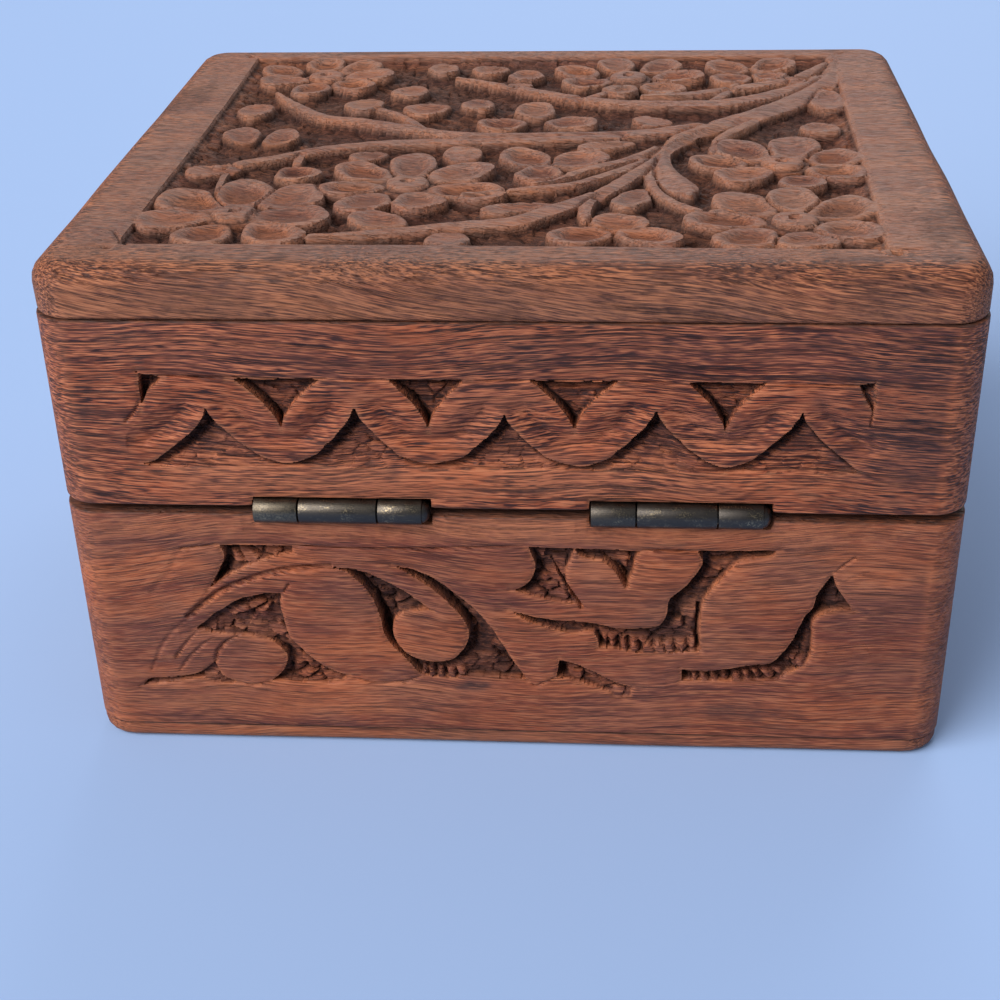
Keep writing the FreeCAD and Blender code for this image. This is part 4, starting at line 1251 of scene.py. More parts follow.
    def height(self, p: Array, q: Array, cut: Array) -> Array:
        """The rough ground, the motifs' tops, and the border with slips of the knife.

        Args:
            p, q: places across and up.
            cut: distance to the ground, not needed here.

        Returns:
            The heights.
        """
        edge = distance_to_outline(p, q, self.edge)
        s, top = self.standing(p, q)
        away = np.minimum(np.maximum(s, 0.0), np.maximum(-edge, 0.0))
        ground = -self.depth * (0.8 + 0.2 * ease(away, 0.0, 1.5)) * (0.55 + 0.45 * ease(-edge, 0.0, 3.5))
        ground = ground + self.chipping * chipped_ground(p, q, self.seed, self.chip_size)
        width, depth = self.worn_edge
        worn = depth * np.exp(-((np.maximum(edge, 0) / width) ** 2))
        border = uneven_top(p, q) - (worn + self.wall_fall * np.maximum(-edge, 0))
        top = top + 0.06 * smooth_noise(p, q, (1.4, 1.0), 8)
        inside = np.maximum(np.minimum(top, -SKIN), np.maximum(ground, border))
        h = np.where(edge >= -SKIN, border, inside)
        self.score(h, p, q, self.slips)
        return h


# Meshes from arrays.


def make_piece(
    name: str,
    points: Array,
    quads: Array,
    caps: Sequence[Array] = (),
    masks: Optional[dict[str, Array]] = None,
    sharp: float = 50.0,
) -> bpy.types.Object:
    """Puts arrays into a mesh object.

    Args:
        name: the piece's name.
        points: x, y and z of each point, in millimetres.
        quads: four point numbers for each face.
        caps: loops of point numbers, each closed by one face.
        masks: values for each point, by attribute name.
        sharp: edges bent by more degrees than this stay crisp.

    Returns:
        The new object, at the origin.
    """
    mesh = bpy.data.meshes.new(name)
    corners = np.concatenate([quads.ravel(), *caps]).astype(np.int32)
    sizes = np.concatenate([np.full(len(quads), 4), [len(c) for c in caps]]).astype(np.int32)
    mesh.vertices.add(len(points))
    mesh.vertices.foreach_set("co", (points * MM).astype(np.float32).ravel())
    mesh.loops.add(len(corners))
    mesh.loops.foreach_set("vertex_index", corners)
    mesh.polygons.add(len(sizes))
    starts = np.concatenate([[0], np.cumsum(sizes)[:-1]])
    mesh.polygons.foreach_set("loop_start", starts.astype(np.int32))
    mesh.update(calc_edges=True)
    mesh.validate()
    for mask, values in (masks or {}).items():
        layer = mesh.attributes.new(mask, "FLOAT", "POINT")
        layer.data.foreach_set("value", values.astype(np.float32).ravel())
    mesh.shade_smooth()
    mesh.set_sharp_from_angle(angle=math.radians(sharp))
    obj = bpy.data.objects.new(name, mesh)
    bpy.context.scene.collection.objects.link(obj)
    return obj


def grid_quads(rows: int, columns: int, wrap: bool = False, start: int = 0) -> Array:
    """Faces of a grid whose points are numbered row by row.

    Args:
        rows: number of rows of points.
        columns: number of points in a row.
        wrap: whether each row closes on itself.
        start: number of the first point.

    Returns:
        Four point numbers for each face.
    """
    i = np.arange(rows - 1)[:, None]
    j = np.arange(columns if wrap else columns - 1)[None, :]
    k = (j + 1) % columns
    this, following = i * columns, (i + 1) * columns
    quads = np.stack([this + j, this + k, following + k, following + j], -1)
    return quads.reshape(-1, 4) + start


def lines_with_fine(low: float, high: float, fine: Point, step: float, coarse: float) -> Array:
    """Grid lines from low to high: fine steps within the fine span, coarse ones outside.

    Args:
        low: first line.
        high: last line.
        fine: where the fine span starts and ends.
        step: distance between fine lines.
        coarse: distance between the other lines.

    Returns:
        The lines in order.
    """
    a, b = max(low, fine[0]), min(high, fine[1])
    before = np.linspace(low, a, max(2, round((a - low) / coarse) + 1))[:-1] if a > low else []
    middle = np.linspace(a, b, round((b - a) / step) + 1)
    after = np.linspace(b, high, max(2, round((high - b) / coarse) + 1))[1:] if high > b else []
    return np.concatenate([before, middle, after])


def rounded_rectangle(half: Point, radius: float, share: Array, quarter: Array) -> Array:
    """Points on a rectangle with round corners.

    Each quarter runs from the middle of one side, round a corner, to the middle
    of the next side. A point lies at a share of the quarter's length.

    Args:
        half: half sizes across and up.
        radius: corner radius.
        share: place in the quarter, 0 to 1.
        quarter: number of the quarter, 0 to 3, anticlockwise from the right side's middle.

    Returns:
        One row of two coordinates for each point.
    """
    odd = quarter % 2 == 1
    first = np.where(odd, half[0], half[1]) - radius
    last = np.where(odd, half[1], half[0]) - radius
    s = share * (first + last + radius * math.pi / 2)
    turn = np.clip((s - first) / max(radius, 1e-9), 0.0, math.pi / 2)
    a = last + radius * np.cos(turn) - np.maximum(s - first - radius * math.pi / 2, 0.0)
    b = np.minimum(s, first) + radius * np.sin(turn)
    way = quarter * math.pi / 2
    return np.stack([a * np.cos(way) - b * np.sin(way), a * np.sin(way) + b * np.cos(way)], -1)


def quarters(count: int) -> tuple[Array, Array]:
    """Share and quarter of each point of a rounded rectangle, for a number of points in a quarter."""
    return np.tile(np.arange(count) / count, 4), np.repeat(np.arange(4), count)


def box_of(node: str) -> tuple[Array, Array]:
    """Lowest and highest corner of a node, in millimetres."""
    low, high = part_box(node)
    return np.array(low) / MM, np.array(high) / MM


def install(obj: bpy.types.Object, node: str, body: str) -> bpy.types.Object:
    """Puts a dressed piece on its body in place of its node, and reports it.

    Args:
        obj: the dressed piece.
        node: the node that it replaces.
        body: the body that it moves with.

    Returns:
        The same piece.
    """
    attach(obj, body)
    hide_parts(node)
    LOG.info("%s: %d points, %d faces", obj.name, len(obj.data.vertices), len(obj.data.polygons))
    return obj


# Finishes.


class SocketKind(Enum):
    """What a socket of a node group carries."""

    VECTOR = "NodeSocketVector"
    COLOUR = "NodeSocketColor"
    NUMBER = "NodeSocketFloat"


class Shading:
    """Adds and links nodes in one shader tree."""

    def __init__(self, tree: bpy.types.NodeTree) -> None:
        """Keeps the tree."""
        self.tree = tree

    def feed(self, socket: Socket, value: object) -> None:
        """Links a socket to another, or sets its value.

        Args:
            socket: the input.
            value: an output to link it to, or a constant.
        """
        if isinstance(value, bpy.types.NodeSocket):
            self.tree.links.new(value, socket)
        else:
            socket.default_value = value

    def node(
        self, kind: str, inputs: Optional[dict[str | int, object]] = None, **settings: object
    ) -> bpy.types.Node:
        """A new node.

        Args:
            kind: the node's type.
            inputs: what its sockets are fed, by name or number.
            settings: its properties by name.

        Returns:
            The node.
        """
        node = self.tree.nodes.new(kind)
        for key, value in settings.items():
            setattr(node, key, value)
        for key, value in (inputs or {}).items():
            self.feed(node.inputs[key], value)
        return node

    def math(self, operation: str, a: object, b: object) -> Socket:
        """One arithmetic step on two values."""
        return self.node("ShaderNodeMath", {0: a, 1: b}, operation=operation).outputs[0]

    def times(self, a: object, b: object) -> Socket:
        """One value times another."""
        return self.math("MULTIPLY", a, b)

    def mix(self, share: object, a: object, b: object, blend: str = "MIX") -> Socket:
        """Two colours mixed by a share of the second."""
        inputs = {"Factor": share, 6: a, 7: b}
        return self.node("ShaderNodeMix", inputs, data_type="RGBA", blend_type=blend).outputs[2]

    def placed(
        self, vector: Socket, scale: Vector3, turn: Vector3 = (0, 0, 0), shift: Vector3 = (0, 0, 0)
    ) -> Socket:
        """A vector scaled along each axis, turned about each and shifted."""
        inputs = {"Vector": vector, "Scale": scale, "Rotation": turn, "Location": shift}
        return self.node("ShaderNodeMapping", inputs).outputs[0]

    def noise(self, vector: Socket, scale: Vector3, detail: float = 2.0, rough: float = 0.55) -> Socket:
        """Noise about 0.5 whose cells are 1/scale millimetres along each axis."""
        inputs = {"Vector": self.placed(vector, scale), "Scale": 1.0, "Detail": detail, "Roughness": rough}
        return self.node("ShaderNodeTexNoise", inputs).outputs["Fac"]

    def ramp(
        self, value: object, low: float, high: float, to_low: float = 0.0, to_high: float = 1.0
    ) -> Socket:
        """A value eased from one range to another."""
        inputs = {"Value": value, "From Min": low, "From Max": high, "To Min": to_low, "To Max": to_high}
        return self.node("ShaderNodeMapRange", inputs, interpolation_type="SMOOTHSTEP").outputs["Result"]

    def bumped(self, height: Socket, strength: float, distance: float) -> Socket:
        """A normal bent by fine relief, whose unit is a distance in metres."""
        inputs = {"Strength": strength, "Distance": distance, "Height": height}
        return self.node("ShaderNodeBump", inputs).outputs["Normal"]

    def attribute(self, name: str) -> Socket:
        """A mask of the piece."""
        return self.node("ShaderNodeAttribute", attribute_name=name).outputs["Fac"]

    def group(self, tree: bpy.types.NodeTree, **inputs: object) -> bpy.types.Node:
        """A placed node group with its inputs fed by name, three numbers as a colour."""
        fed = {key: (*value, 1) if isinstance(value, tuple) else value for key, value in inputs.items()}
        return self.node("ShaderNodeGroup", fed, node_tree=tree)


def new_group(
    name: str, inputs: dict[str, SocketKind], outputs: dict[str, SocketKind]
) -> tuple[Shading, dict[str, Socket], dict[str, Socket]]:
    """Starts a shader node group.

    Args:
        name: the group's name.
        inputs: kind of each input socket by name.
        outputs: kind of each output socket by name.

    Returns:
        The shading for its tree, its inputs and its outputs by name.
    """
    tree = bpy.data.node_groups.new(name, "ShaderNodeTree")
    for label, kind in inputs.items():
        tree.interface.new_socket(label, in_out="INPUT", socket_type=kind.value)
    for label, kind in outputs.items():
        tree.interface.new_socket(label, in_out="OUTPUT", socket_type=kind.value)
    shading = Shading(tree)
    start, end = shading.node("NodeGroupInput"), shading.node("NodeGroupOutput")
    return shading, {k: start.outputs[k] for k in inputs}, {k: end.inputs[k] for k in outputs}


def kinds(colours: str, numbers: str, vectors: str = "") -> dict[str, SocketKind]:
    """Kind of each socket by its name, from lists of names parted by spaces."""
    lists = {SocketKind.VECTOR: vectors, SocketKind.COLOUR: colours, SocketKind.NUMBER: numbers}
    return {name: kind for kind, names in lists.items() for name in names.split()}


def wood_figure_group() -> bpy.types.NodeTree:
    """Figure of an open-grained wood, for places in millimetres with the fibres along X.

    Layers, coarse to fine: slow bands between a pale and a middle colour, warm
    and cool patches, dark streaks, short fibres whose contrast is set by the
    boards' finish, fine splits and pores. All follow lines that wander up and
    down with slow noise.

    Returns:
        The group.
    """
    inputs = kinds("Pale Middle Dark Light", "Streaks Fibres", "Vector")
    sh, source, out = new_group("wood_figure", inputs, kinds("Color", "Height"))
    slow = sh.noise(source["Vector"], (0.030, 0.025, 0.025), 1.0)
    lift = sh.times(sh.math("SUBTRACT", slow, 0.5), 6.5)
    shift = sh.node("ShaderNodeCombineXYZ", {"Z": lift}).outputs[0]
    moved = {0: source["Vector"], 1: shift}
    lines = sh.node("ShaderNodeVectorMath", moved, operation="ADD").outputs[0]
    bands = sh.ramp(sh.noise(lines, (0.02, 0.24, 0.24), 3.0, 0.6), 0.32, 0.68)
    patch = sh.ramp(sh.noise(source["Vector"], (0.05, 0.09, 0.09), 3.0), 0.35, 0.7)
    streak = sh.ramp(sh.noise(lines, (0.05, 1.3, 1.3), 4.0, 0.7), 0.47, 0.72)
    fibre = sh.noise(lines, (0.46, 6.6, 6.6), 1.0, 0.5)
    thread = sh.noise(lines, (0.13, 4.4, 4.4), 1.0, 0.5)
    split = sh.ramp(sh.noise(lines, (0.03, 3.0, 3.0), 2.0, 0.55), 0.58, 0.68)
    grainy = sh.math("ADD", sh.times(fibre, 0.6), sh.times(thread, 0.4))
    pore = sh.ramp(sh.noise(lines, (0.16, 6.5, 6.5), 1.0, 0.5), 0.58, 0.68)
    tone = sh.ramp(sh.noise(source["Vector"], (0.07, 0.12, 0.12), 2.0), 0.38, 0.62)
    colour = sh.mix(bands, source["Pale"], source["Middle"])
    colour = sh.mix(sh.times(patch, 0.4), colour, source["Middle"])
    colour = sh.mix(sh.times(streak, source["Streaks"]), colour, source["Dark"])
    colour = sh.mix(1.0, colour, sh.mix(tone, (1.10, 0.97, 0.86, 1), (0.93, 0.99, 1.14, 1)), "MULTIPLY")
    patchy = sh.ramp(sh.noise(lines, (0.1, 0.35, 0.35), 2.0), 0.36, 0.64, 0.68, 1.1)
    contrast = sh.times(source["Fibres"], patchy)
    lights = sh.times(sh.ramp(grainy, 0.5, 0.60, 0.0, 0.75), contrast)
    darks = sh.times(sh.ramp(grainy, 0.5, 0.40, 0.0, 0.78), contrast)
    colour = sh.mix(lights, colour, source["Light"])
    colour = sh.mix(darks, colour, source["Dark"])
    split = sh.times(split, contrast)
    colour = sh.mix(sh.times(pore, 0.5), colour, source["Dark"])
    colour = sh.mix(sh.times(split, 0.55), colour, source["Dark"])
    height = sh.math("SUBTRACT", sh.times(fibre, 0.9), sh.times(pore, 0.8))
    height = sh.math("SUBTRACT", height, sh.times(split, 1.6))
    sh.feed(out["Color"], colour)
    sh.feed(out["Height"], height)
    return sh.tree


def handling_and_shade_group() -> bpy.types.NodeTree:
    """What years of handling leave, with painted light: grime and painted shade in the sunk ground, stains
    and painted shade in seams, pale rubbed edges, and dust with painted sheen.

    Returns:
        The group.
    """
    inputs = kinds("Color Grime Rubbed Dusty", "Sunk Worn Stain Dust", "Vector")
    sh, source, out = new_group("handling_and_shade", inputs, kinds("Color", "Roughness Height"))
    crumbs = sh.noise(source["Vector"], (0.9, 1.6, 1.6), 4.0, 0.65)
    splinter = sh.noise(source["Vector"], (0.6, 3.5, 3.5), 3.0, 0.6)
    # Painted shade mixed with grime: the sunk ground turns towards the near-black grime colour with depth.
    deep = sh.times(sh.ramp(source["Sunk"], 0.25, 1.2), sh.ramp(crumbs, 0.3, 0.7, 0.62, 1.0))
    smear = sh.times(source["Stain"], sh.ramp(splinter, 0.3, 0.65, 0.5, 1.0))
    cloud = sh.ramp(sh.noise(source["Vector"], (0.06, 0.09, 0.09), 3.0), 0.55, 0.8, 0.0, 0.28)
    rub = sh.times(source["Worn"], sh.ramp(crumbs, 0.3, 0.65, 0.15, 0.6))
    colour = sh.mix(deep, source["Color"], source["Grime"])
    # Stains with painted shade: the stain mask, which also darkens seams, the lid gap and the walls' right
    # ends, and random grime clouds mix towards near black.
    colour = sh.mix(sh.math("MAXIMUM", smear, cloud), colour, (0.032, 0.019, 0.019, 1))
    colour = sh.mix(rub, colour, source["Rubbed"])
    # Dust with painted sheen: the border and high tops turn pale grey.
    dust_and_sheen_share = sh.times(source["Dust"], sh.ramp(splinter, 0.3, 0.7, 0.42, 0.08))
    dust_and_sheen_share = sh.times(dust_and_sheen_share, sh.math("SUBTRACT", 1.0, source["Stain"]))
    colour = sh.mix(dust_and_sheen_share, colour, source["Dusty"])
    sh.feed(out["Color"], colour)
    dull = sh.ramp(crumbs, 0.3, 0.7, 0.50, 0.68)
    sh.feed(out["Roughness"], sh.math("ADD", dull, sh.times(deep, 0.25)))
    sh.feed(out["Height"], sh.times(splinter, sh.ramp(source["Sunk"], 0.2, 0.8, 0.15, 2.2)))
    return sh.tree


def tarnish_group() -> bpy.types.NodeTree:
    """Old metal: a dark skin with fine speckle and drawn scratches along X.

    It is brighter in patches, and where the piece's own mask says that it is rubbed, which along a hinge
    barrel's top is a painted glint.

    Returns:
        The group.
    """
    inputs = kinds("Skin Bare", "Rubbed", "Vector")
    sh, source, out = new_group("tarnish", inputs, kinds("Color", "Roughness Height"))
    cloud = sh.noise(source["Vector"], (0.5, 0.8, 0.8), 3.0, 0.6)
    speck = sh.noise(source["Vector"], (5.0, 6.0, 6.0), 2.0, 0.6)
    scratch = sh.noise(source["Vector"], (0.5, 9.0, 9.0), 2.0, 0.5)
    bare = sh.times(sh.ramp(cloud, 0.43, 0.72), sh.ramp(speck, 0.48, 0.64, 0.05, 0.8))
    rubbed = sh.times(source["Rubbed"], sh.ramp(speck, 0.35, 0.6, 0.2, 0.7))
    bare = sh.math("MAXIMUM", bare, rubbed)
    bare = sh.math("MAXIMUM", bare, sh.ramp(scratch, 0.64, 0.78, 0.0, 0.4))
    sh.feed(out["Color"], sh.mix(bare, source["Skin"], source["Bare"]))
    sh.feed(out["Roughness"], sh.ramp(cloud, 0.3, 0.7, 0.48, 0.32))
    sh.feed(out["Height"], sh.math("ADD", speck, sh.times(scratch, 0.6)))
    return sh.tree


def new_material(name: str) -> tuple[bpy.types.Material, Shading, bpy.types.Node]:
    """Starts a material.

    Args:
        name: the material's name.

    Returns:
        The material, the shading for its tree and its surface node.
    """
    made = bpy.data.materials.new(name)
    made.use_nodes = True
    return made, Shading(made.node_tree), made.node_tree.nodes["Principled BSDF"]


@dataclass(frozen=True)
class WoodFinish:
    """Oiled open-grained wood with old grime, painted shade in its hollows and seams, and dust with
    painted sheen.

    The figure is drawn out across the board's thickness where inward is below 1,
    so that fibres run on over a face that isn't quite flat.
    """

    name: str
    grain: Grain
    shift: Vector3
    pale: Colour = (0.380, 0.122, 0.047)
    middle: Colour = (0.190, 0.050, 0.027)
    dark: Colour = (0.040, 0.011, 0.009)
    light: Colour = (0.480, 0.172, 0.078)
    # Near-black colour of grime and of painted shade in the hollows.
    grime: Colour = (0.030, 0.012, 0.010)
    rubbed: Colour = (0.440, 0.170, 0.080)
    # Pale grey of dust and of painted sheen on the upward faces.
    dusty: Colour = (0.360, 0.245, 0.205)
    streaks: float = 0.6
    fibres: float = 0.62
    slant: float = 0.0
    inward: float = 0.3

    def material(self, figure: bpy.types.NodeTree, handling_and_shade: bpy.types.NodeTree) -> bpy.types.Material:
        """The finish as a material.

        Args:
            figure: the group that draws the wood.
            handling_and_shade: the group that ages it.

        Returns:
            The new material.
        """
        made, sh, surface = new_material(self.name)
        place = sh.node("ShaderNodeTexCoord").outputs["Object"]
        board = sh.placed(place, (1 / MM,) * 3, (0, self.slant, -self.grain.value), self.shift)
        calm = sh.ramp(sh.attribute("calm"), 0.0, 1.0, 1.0, 0.35)
        wood = sh.group(
            figure, Vector=sh.placed(board, (1.0, self.inward, 1.0)), Pale=self.pale, Middle=self.middle,
            Dark=self.dark, Light=self.light, Streaks=self.streaks,
            Fibres=sh.times(calm, self.fibres))
        aged = sh.group(
            handling_and_shade, Vector=board, Color=wood.outputs["Color"], Grime=self.grime, Rubbed=self.rubbed,
            Dusty=self.dusty, Sunk=sh.attribute("sunk"), Worn=sh.attribute("worn"),
            Stain=sh.attribute("stain"), Dust=sh.attribute("dust"))
        height = sh.math("ADD", wood.outputs["Height"], aged.outputs["Height"])
        sh.feed(surface.inputs["Base Color"], aged.outputs["Color"])
        sh.feed(surface.inputs["Roughness"], aged.outputs["Roughness"])
        sh.feed(surface.inputs["Normal"], sh.bumped(height, 0.8, 0.18 * MM))
        surface.inputs["Specular IOR Level"].default_value = 0.28
        return made


@dataclass(frozen=True)
class MetalFinish:
    """Darkened metal, rubbed bright in places."""

    name: str
    skin: Colour
    bare: Colour

    def material(self, tarnish: bpy.types.NodeTree) -> bpy.types.Material:
        """The finish as a material.

        Args:
            tarnish: the group that darkens the metal.

        Returns:
            The new material.
        """
        made, sh, surface = new_material(self.name)
        place = sh.placed(sh.node("ShaderNodeTexCoord").outputs["Object"], (1 / MM,) * 3)
        aged = sh.group(
            tarnish, Vector=place, Skin=self.skin, Bare=self.bare, Rubbed=sh.attribute("rubbed"))
        sh.feed(surface.inputs["Base Color"], aged.outputs["Color"])
        sh.feed(surface.inputs["Roughness"], aged.outputs["Roughness"])
        sh.feed(surface.inputs["Normal"], sh.bumped(aged.outputs["Height"], 0.25, 0.06 * MM))
        surface.inputs["Metallic"].default_value = 1.0
        return made


# Boards.


@dataclass
class WallBoard:
    """A wall board with one carved face, rounded outer corners and softened edges.

    The seam shade is the painted shade on each ring of an edge, from the outermost inwards, in the seams
    and the gap between boards.
    """

    node: str
    body: str
    facing: Facing
    carving: Carving
    fine_across: Point
    fine_up: Point
    step: float
    corner: float
    slot: str = "wall_wood"
    rise: Point = (0.0, 0.0)
    edge: float = 0.22
    least_corner: float = 0.35
    coarse: Point = (2.0, 0.5)
    arc_points: int = 9
    back_points: int = 36
    corner_wear: float = 0.28
    edge_wear: float = 0.2
    seam_shade: Sequence[float] = (1.0, 1.0, 0.9, 0.6)

    def plan(self, p: Array, flat: float, r: float, thick: float) -> tuple[Array, Array]:
        """The board seen from above: its face, a corner, its inner face and the other corner.

        Args:
            p: places of the face's points.
            flat: half length of the flat face.
            r: corner radius.
            thick: the board's thickness.

        Returns:
            Place across and outwards of each point in order, and the outward normal there.
        """
        turn = np.linspace(math.pi / 2, 0, self.arc_points + 1)[1:]
        arc = np.stack([flat + r * np.cos(turn), r * np.sin(turn) - r], -1)
        inner = np.linspace(flat + r, -flat - r, self.back_points)
        back = np.stack([inner, np.full(self.back_points, -thick)], -1)
        face = np.stack([p, np.zeros_like(p)], -1)
        plan = np.vstack([face, arc, back, (arc * (-1, 1))[::-1]])
        normal = np.roll(plan, -1, 0) - np.roll(plan, 1, 0)
        return plan, np.stack([-normal[:, 1], normal[:, 0]], -1) / np.hypot(*normal.T)[:, None]

    def with_edges(self, mask: Array) -> Array:
        """A mask of the loops carried on over the rounded edges below and above."""
        rings = len(self.seam_shade)
        return np.vstack([np.repeat(mask[:1], rings, 0), mask, np.repeat(mask[-1:], rings, 0)])

    def masks(self, relief: Relief, others: int) -> dict[str, Array]:
        """Masks for the colour.

        The rounded corners and edges are rubbed, and painted shade darkens the seams.

        Args:
            relief: the carved face.
            others: number of points in a loop that aren't on the carved face.

        Returns:
            Values for each point, by attribute name.
        """
        rings = len(self.seam_shade)
        zero = np.zeros((len(relief.sunk), others))
        corners = np.zeros(others)
        corners[: self.arc_points] = corners[-self.arc_points:] = self.corner_wear
        worn = self.with_edges(np.hstack([relief.worn, zero + corners]))
        worn[:rings] = worn[-rings:] = self.edge_wear
        stain = self.with_edges(np.hstack([relief.stain, zero]))
        # Painted shade in the seams and in the gap between lid and base.
        for row, share in enumerate(self.seam_shade):
            stain[row] = np.maximum(stain[row], share)
            stain[-1 - row] = np.maximum(stain[-1 - row], share)
        return {"sunk": self.with_edges(np.hstack([relief.sunk, zero])), "worn": worn, "stain": stain}

    def build(self) -> bpy.types.Object:
        """Makes the board as loops round its plan, stacked from its lower to its upper edge.

        A loop runs along the carved face, round the corners and back along the
        inner face. At each edge the loops draw in along a quarter circle. The
        carved face is moved in by its relief. The rise lifts the lower edge at
        each end, and less so what lies above it.

        Returns:
            The dressed board's mesh object.
        """
        low, high = box_of(self.node)
        along, through = (0, 1) if self.facing.wide else (1, 0)
        length, thick = (high - low)[along], (high - low)[through]
        half = max(abs(low[through]), abs(high[through]))
        r = max(self.corner, self.least_corner)
        flat = length / 2 - r
        bottom, top = low[2] + self.edge, high[2] - self.edge
        p = lines_with_fine(-flat, flat, self.fine_across, self.step, self.coarse[0])
        q = lines_with_fine(bottom, top, self.fine_up, self.step, self.coarse[1])
        relief = self.carving.carve(p, q, self.step)
        plan, normal = self.plan(p, flat, r, thick)
        rows, n = len(q), len(plan)
        across = np.broadcast_to(plan[:, 0], (rows, n)).copy()
        out = np.broadcast_to(plan[:, 1], (rows, n)).copy()
        up = np.broadcast_to(q[:, None], (rows, n)).copy()
        across[:, : len(p)], up[:, : len(p)] = relief.across, relief.up
        out[:, : len(p)] += relief.height
        quarter = np.linspace(0, math.pi / 2, len(self.seam_shade) + 1)[:-1, None]
        bow = self.edge * (1 - np.sin(quarter))
        drop = self.edge * np.cos(quarter)
        in_across, in_out = bow * normal[:, 0], bow * normal[:, 1]
        across = np.vstack([across[0] - in_across, across, across[-1] - in_across[::-1]])
        out = np.vstack([out[0] - in_out, out, out[-1] - in_out[::-1]])
        up = np.vstack([up[0] - drop, up, up[-1] + drop[::-1]])
        share = np.clip((high[2] - up) / (high[2] - low[2]), 0, 1)
        lift = np.interp(across, (-length / 2, length / 2), self.rise)
        up = up + share * lift
        points = self.facing.place(half, across, out, up).reshape(-1, 3)
        total = len(up)
        quads = grid_quads(total, n, wrap=True)
        caps = [np.arange(n)[::-1], np.arange(n) + (total - 1) * n]
        masks = self.masks(relief, n - len(p))
        obj = make_piece(f"{self.node}_carved", points, quads, caps, masks)
        return install(obj, self.node, self.body)


def filled(values: Sequence[float], count: int) -> Array:
    """Values for the first rings, and zero for the others."""
    return np.concatenate([values, np.zeros(count - len(values))])


@dataclass
class RimmedBoard:
    """A flat board with round corners, made of rings that run round its outline."""

    node: str
    body: str
    slot: str
    corner: float
    upper_edge: float
    lower_edge: float
    inset: float = 0.05
    edge_rings: int = 6
    least_corner: float = 0.2
    uneven: float = 0.10

    def ring_profile(self, low: float, high: float) -> Array:
        """Draw-in and height of each ring, from the upper face's edge down to the lower face's.

        Both edges are quarter circles.

        Args:
            low: the lower face's height.
            high: the upper face's height.

        Returns:
            One row of two numbers for each ring.
        """
        turn = np.linspace(0, math.pi / 2, self.edge_rings)
        early, late = 1 - np.sin(turn), 1 - np.cos(turn)
        upper = np.stack([self.upper_edge * early, high - self.upper_edge * late], -1)
        lower = np.stack([self.lower_edge * late, low + self.lower_edge * early], -1)
        return np.vstack([upper, lower])

    def rings(self, half: Point, profile: Array, share: Array, quarter: Array) -> Array:
        """Points of all the rings, drawn in a little unevenly as a hand plane leaves them.

        Args:
            half: the board's half sizes across and up.
            profile: draw-in and height of each ring.
            share: each point's share of its quarter.
            quarter: each point's quarter.

        Returns:
            x, y and z of each point, ring by ring.
        """
        made = []
        for draw_in, z in profile:
            d = draw_in + self.inset
            corner = max(self.corner - d, self.least_corner)
            ring = rounded_rectangle((half[0] - d, half[1] - d), corner, share, quarter)
            uneven = self.uneven * (1 + smooth_noise(ring[:, 0], ring[:, 1] + 3 * z, (17.0, 13.0), 17))
            size = np.hypot(*ring.T)[:, None]
            ring = ring * (1 - uneven[:, None] / size)
            made.append(np.column_stack([ring, np.full(len(ring), z)]))
        return np.array(made)


@dataclass
class BottomBoard(RimmedBoard):
    """The thin board under the base."""

    count: int = 72
    # Painted shade on the upper rings, in the seam under the walls.
    seam_shade: Sequence[float] = (1.0, 1.0, 1.0, 0.7, 0.3)

    def build(self) -> bpy.types.Object:
        """Makes the board from its rings, closed above and below by one face each.

        Returns:
            The dressed board's mesh object.
        """
        low, high = box_of(self.node)
        profile = self.ring_profile(low[2], high[2])
        rings = self.rings((high[0], high[1]), profile, *quarters(self.count))
        n = 4 * self.count
        quads = grid_quads(len(rings), n, wrap=True)[:, ::-1]
        caps = [np.arange(n), (np.arange(n) + (len(rings) - 1) * n)[::-1]]
        points = rings.reshape(-1, 3)
        masks = {
            "sunk": np.zeros(len(points)),
            "worn": np.repeat(np.linspace(0.1, 0.3, len(rings)), n),
            "stain": np.repeat(filled(self.seam_shade, len(rings)), n),
        }
        obj = make_piece(f"{self.node}_planed", points, quads, caps, masks)
        return install(obj, self.node, self.body)


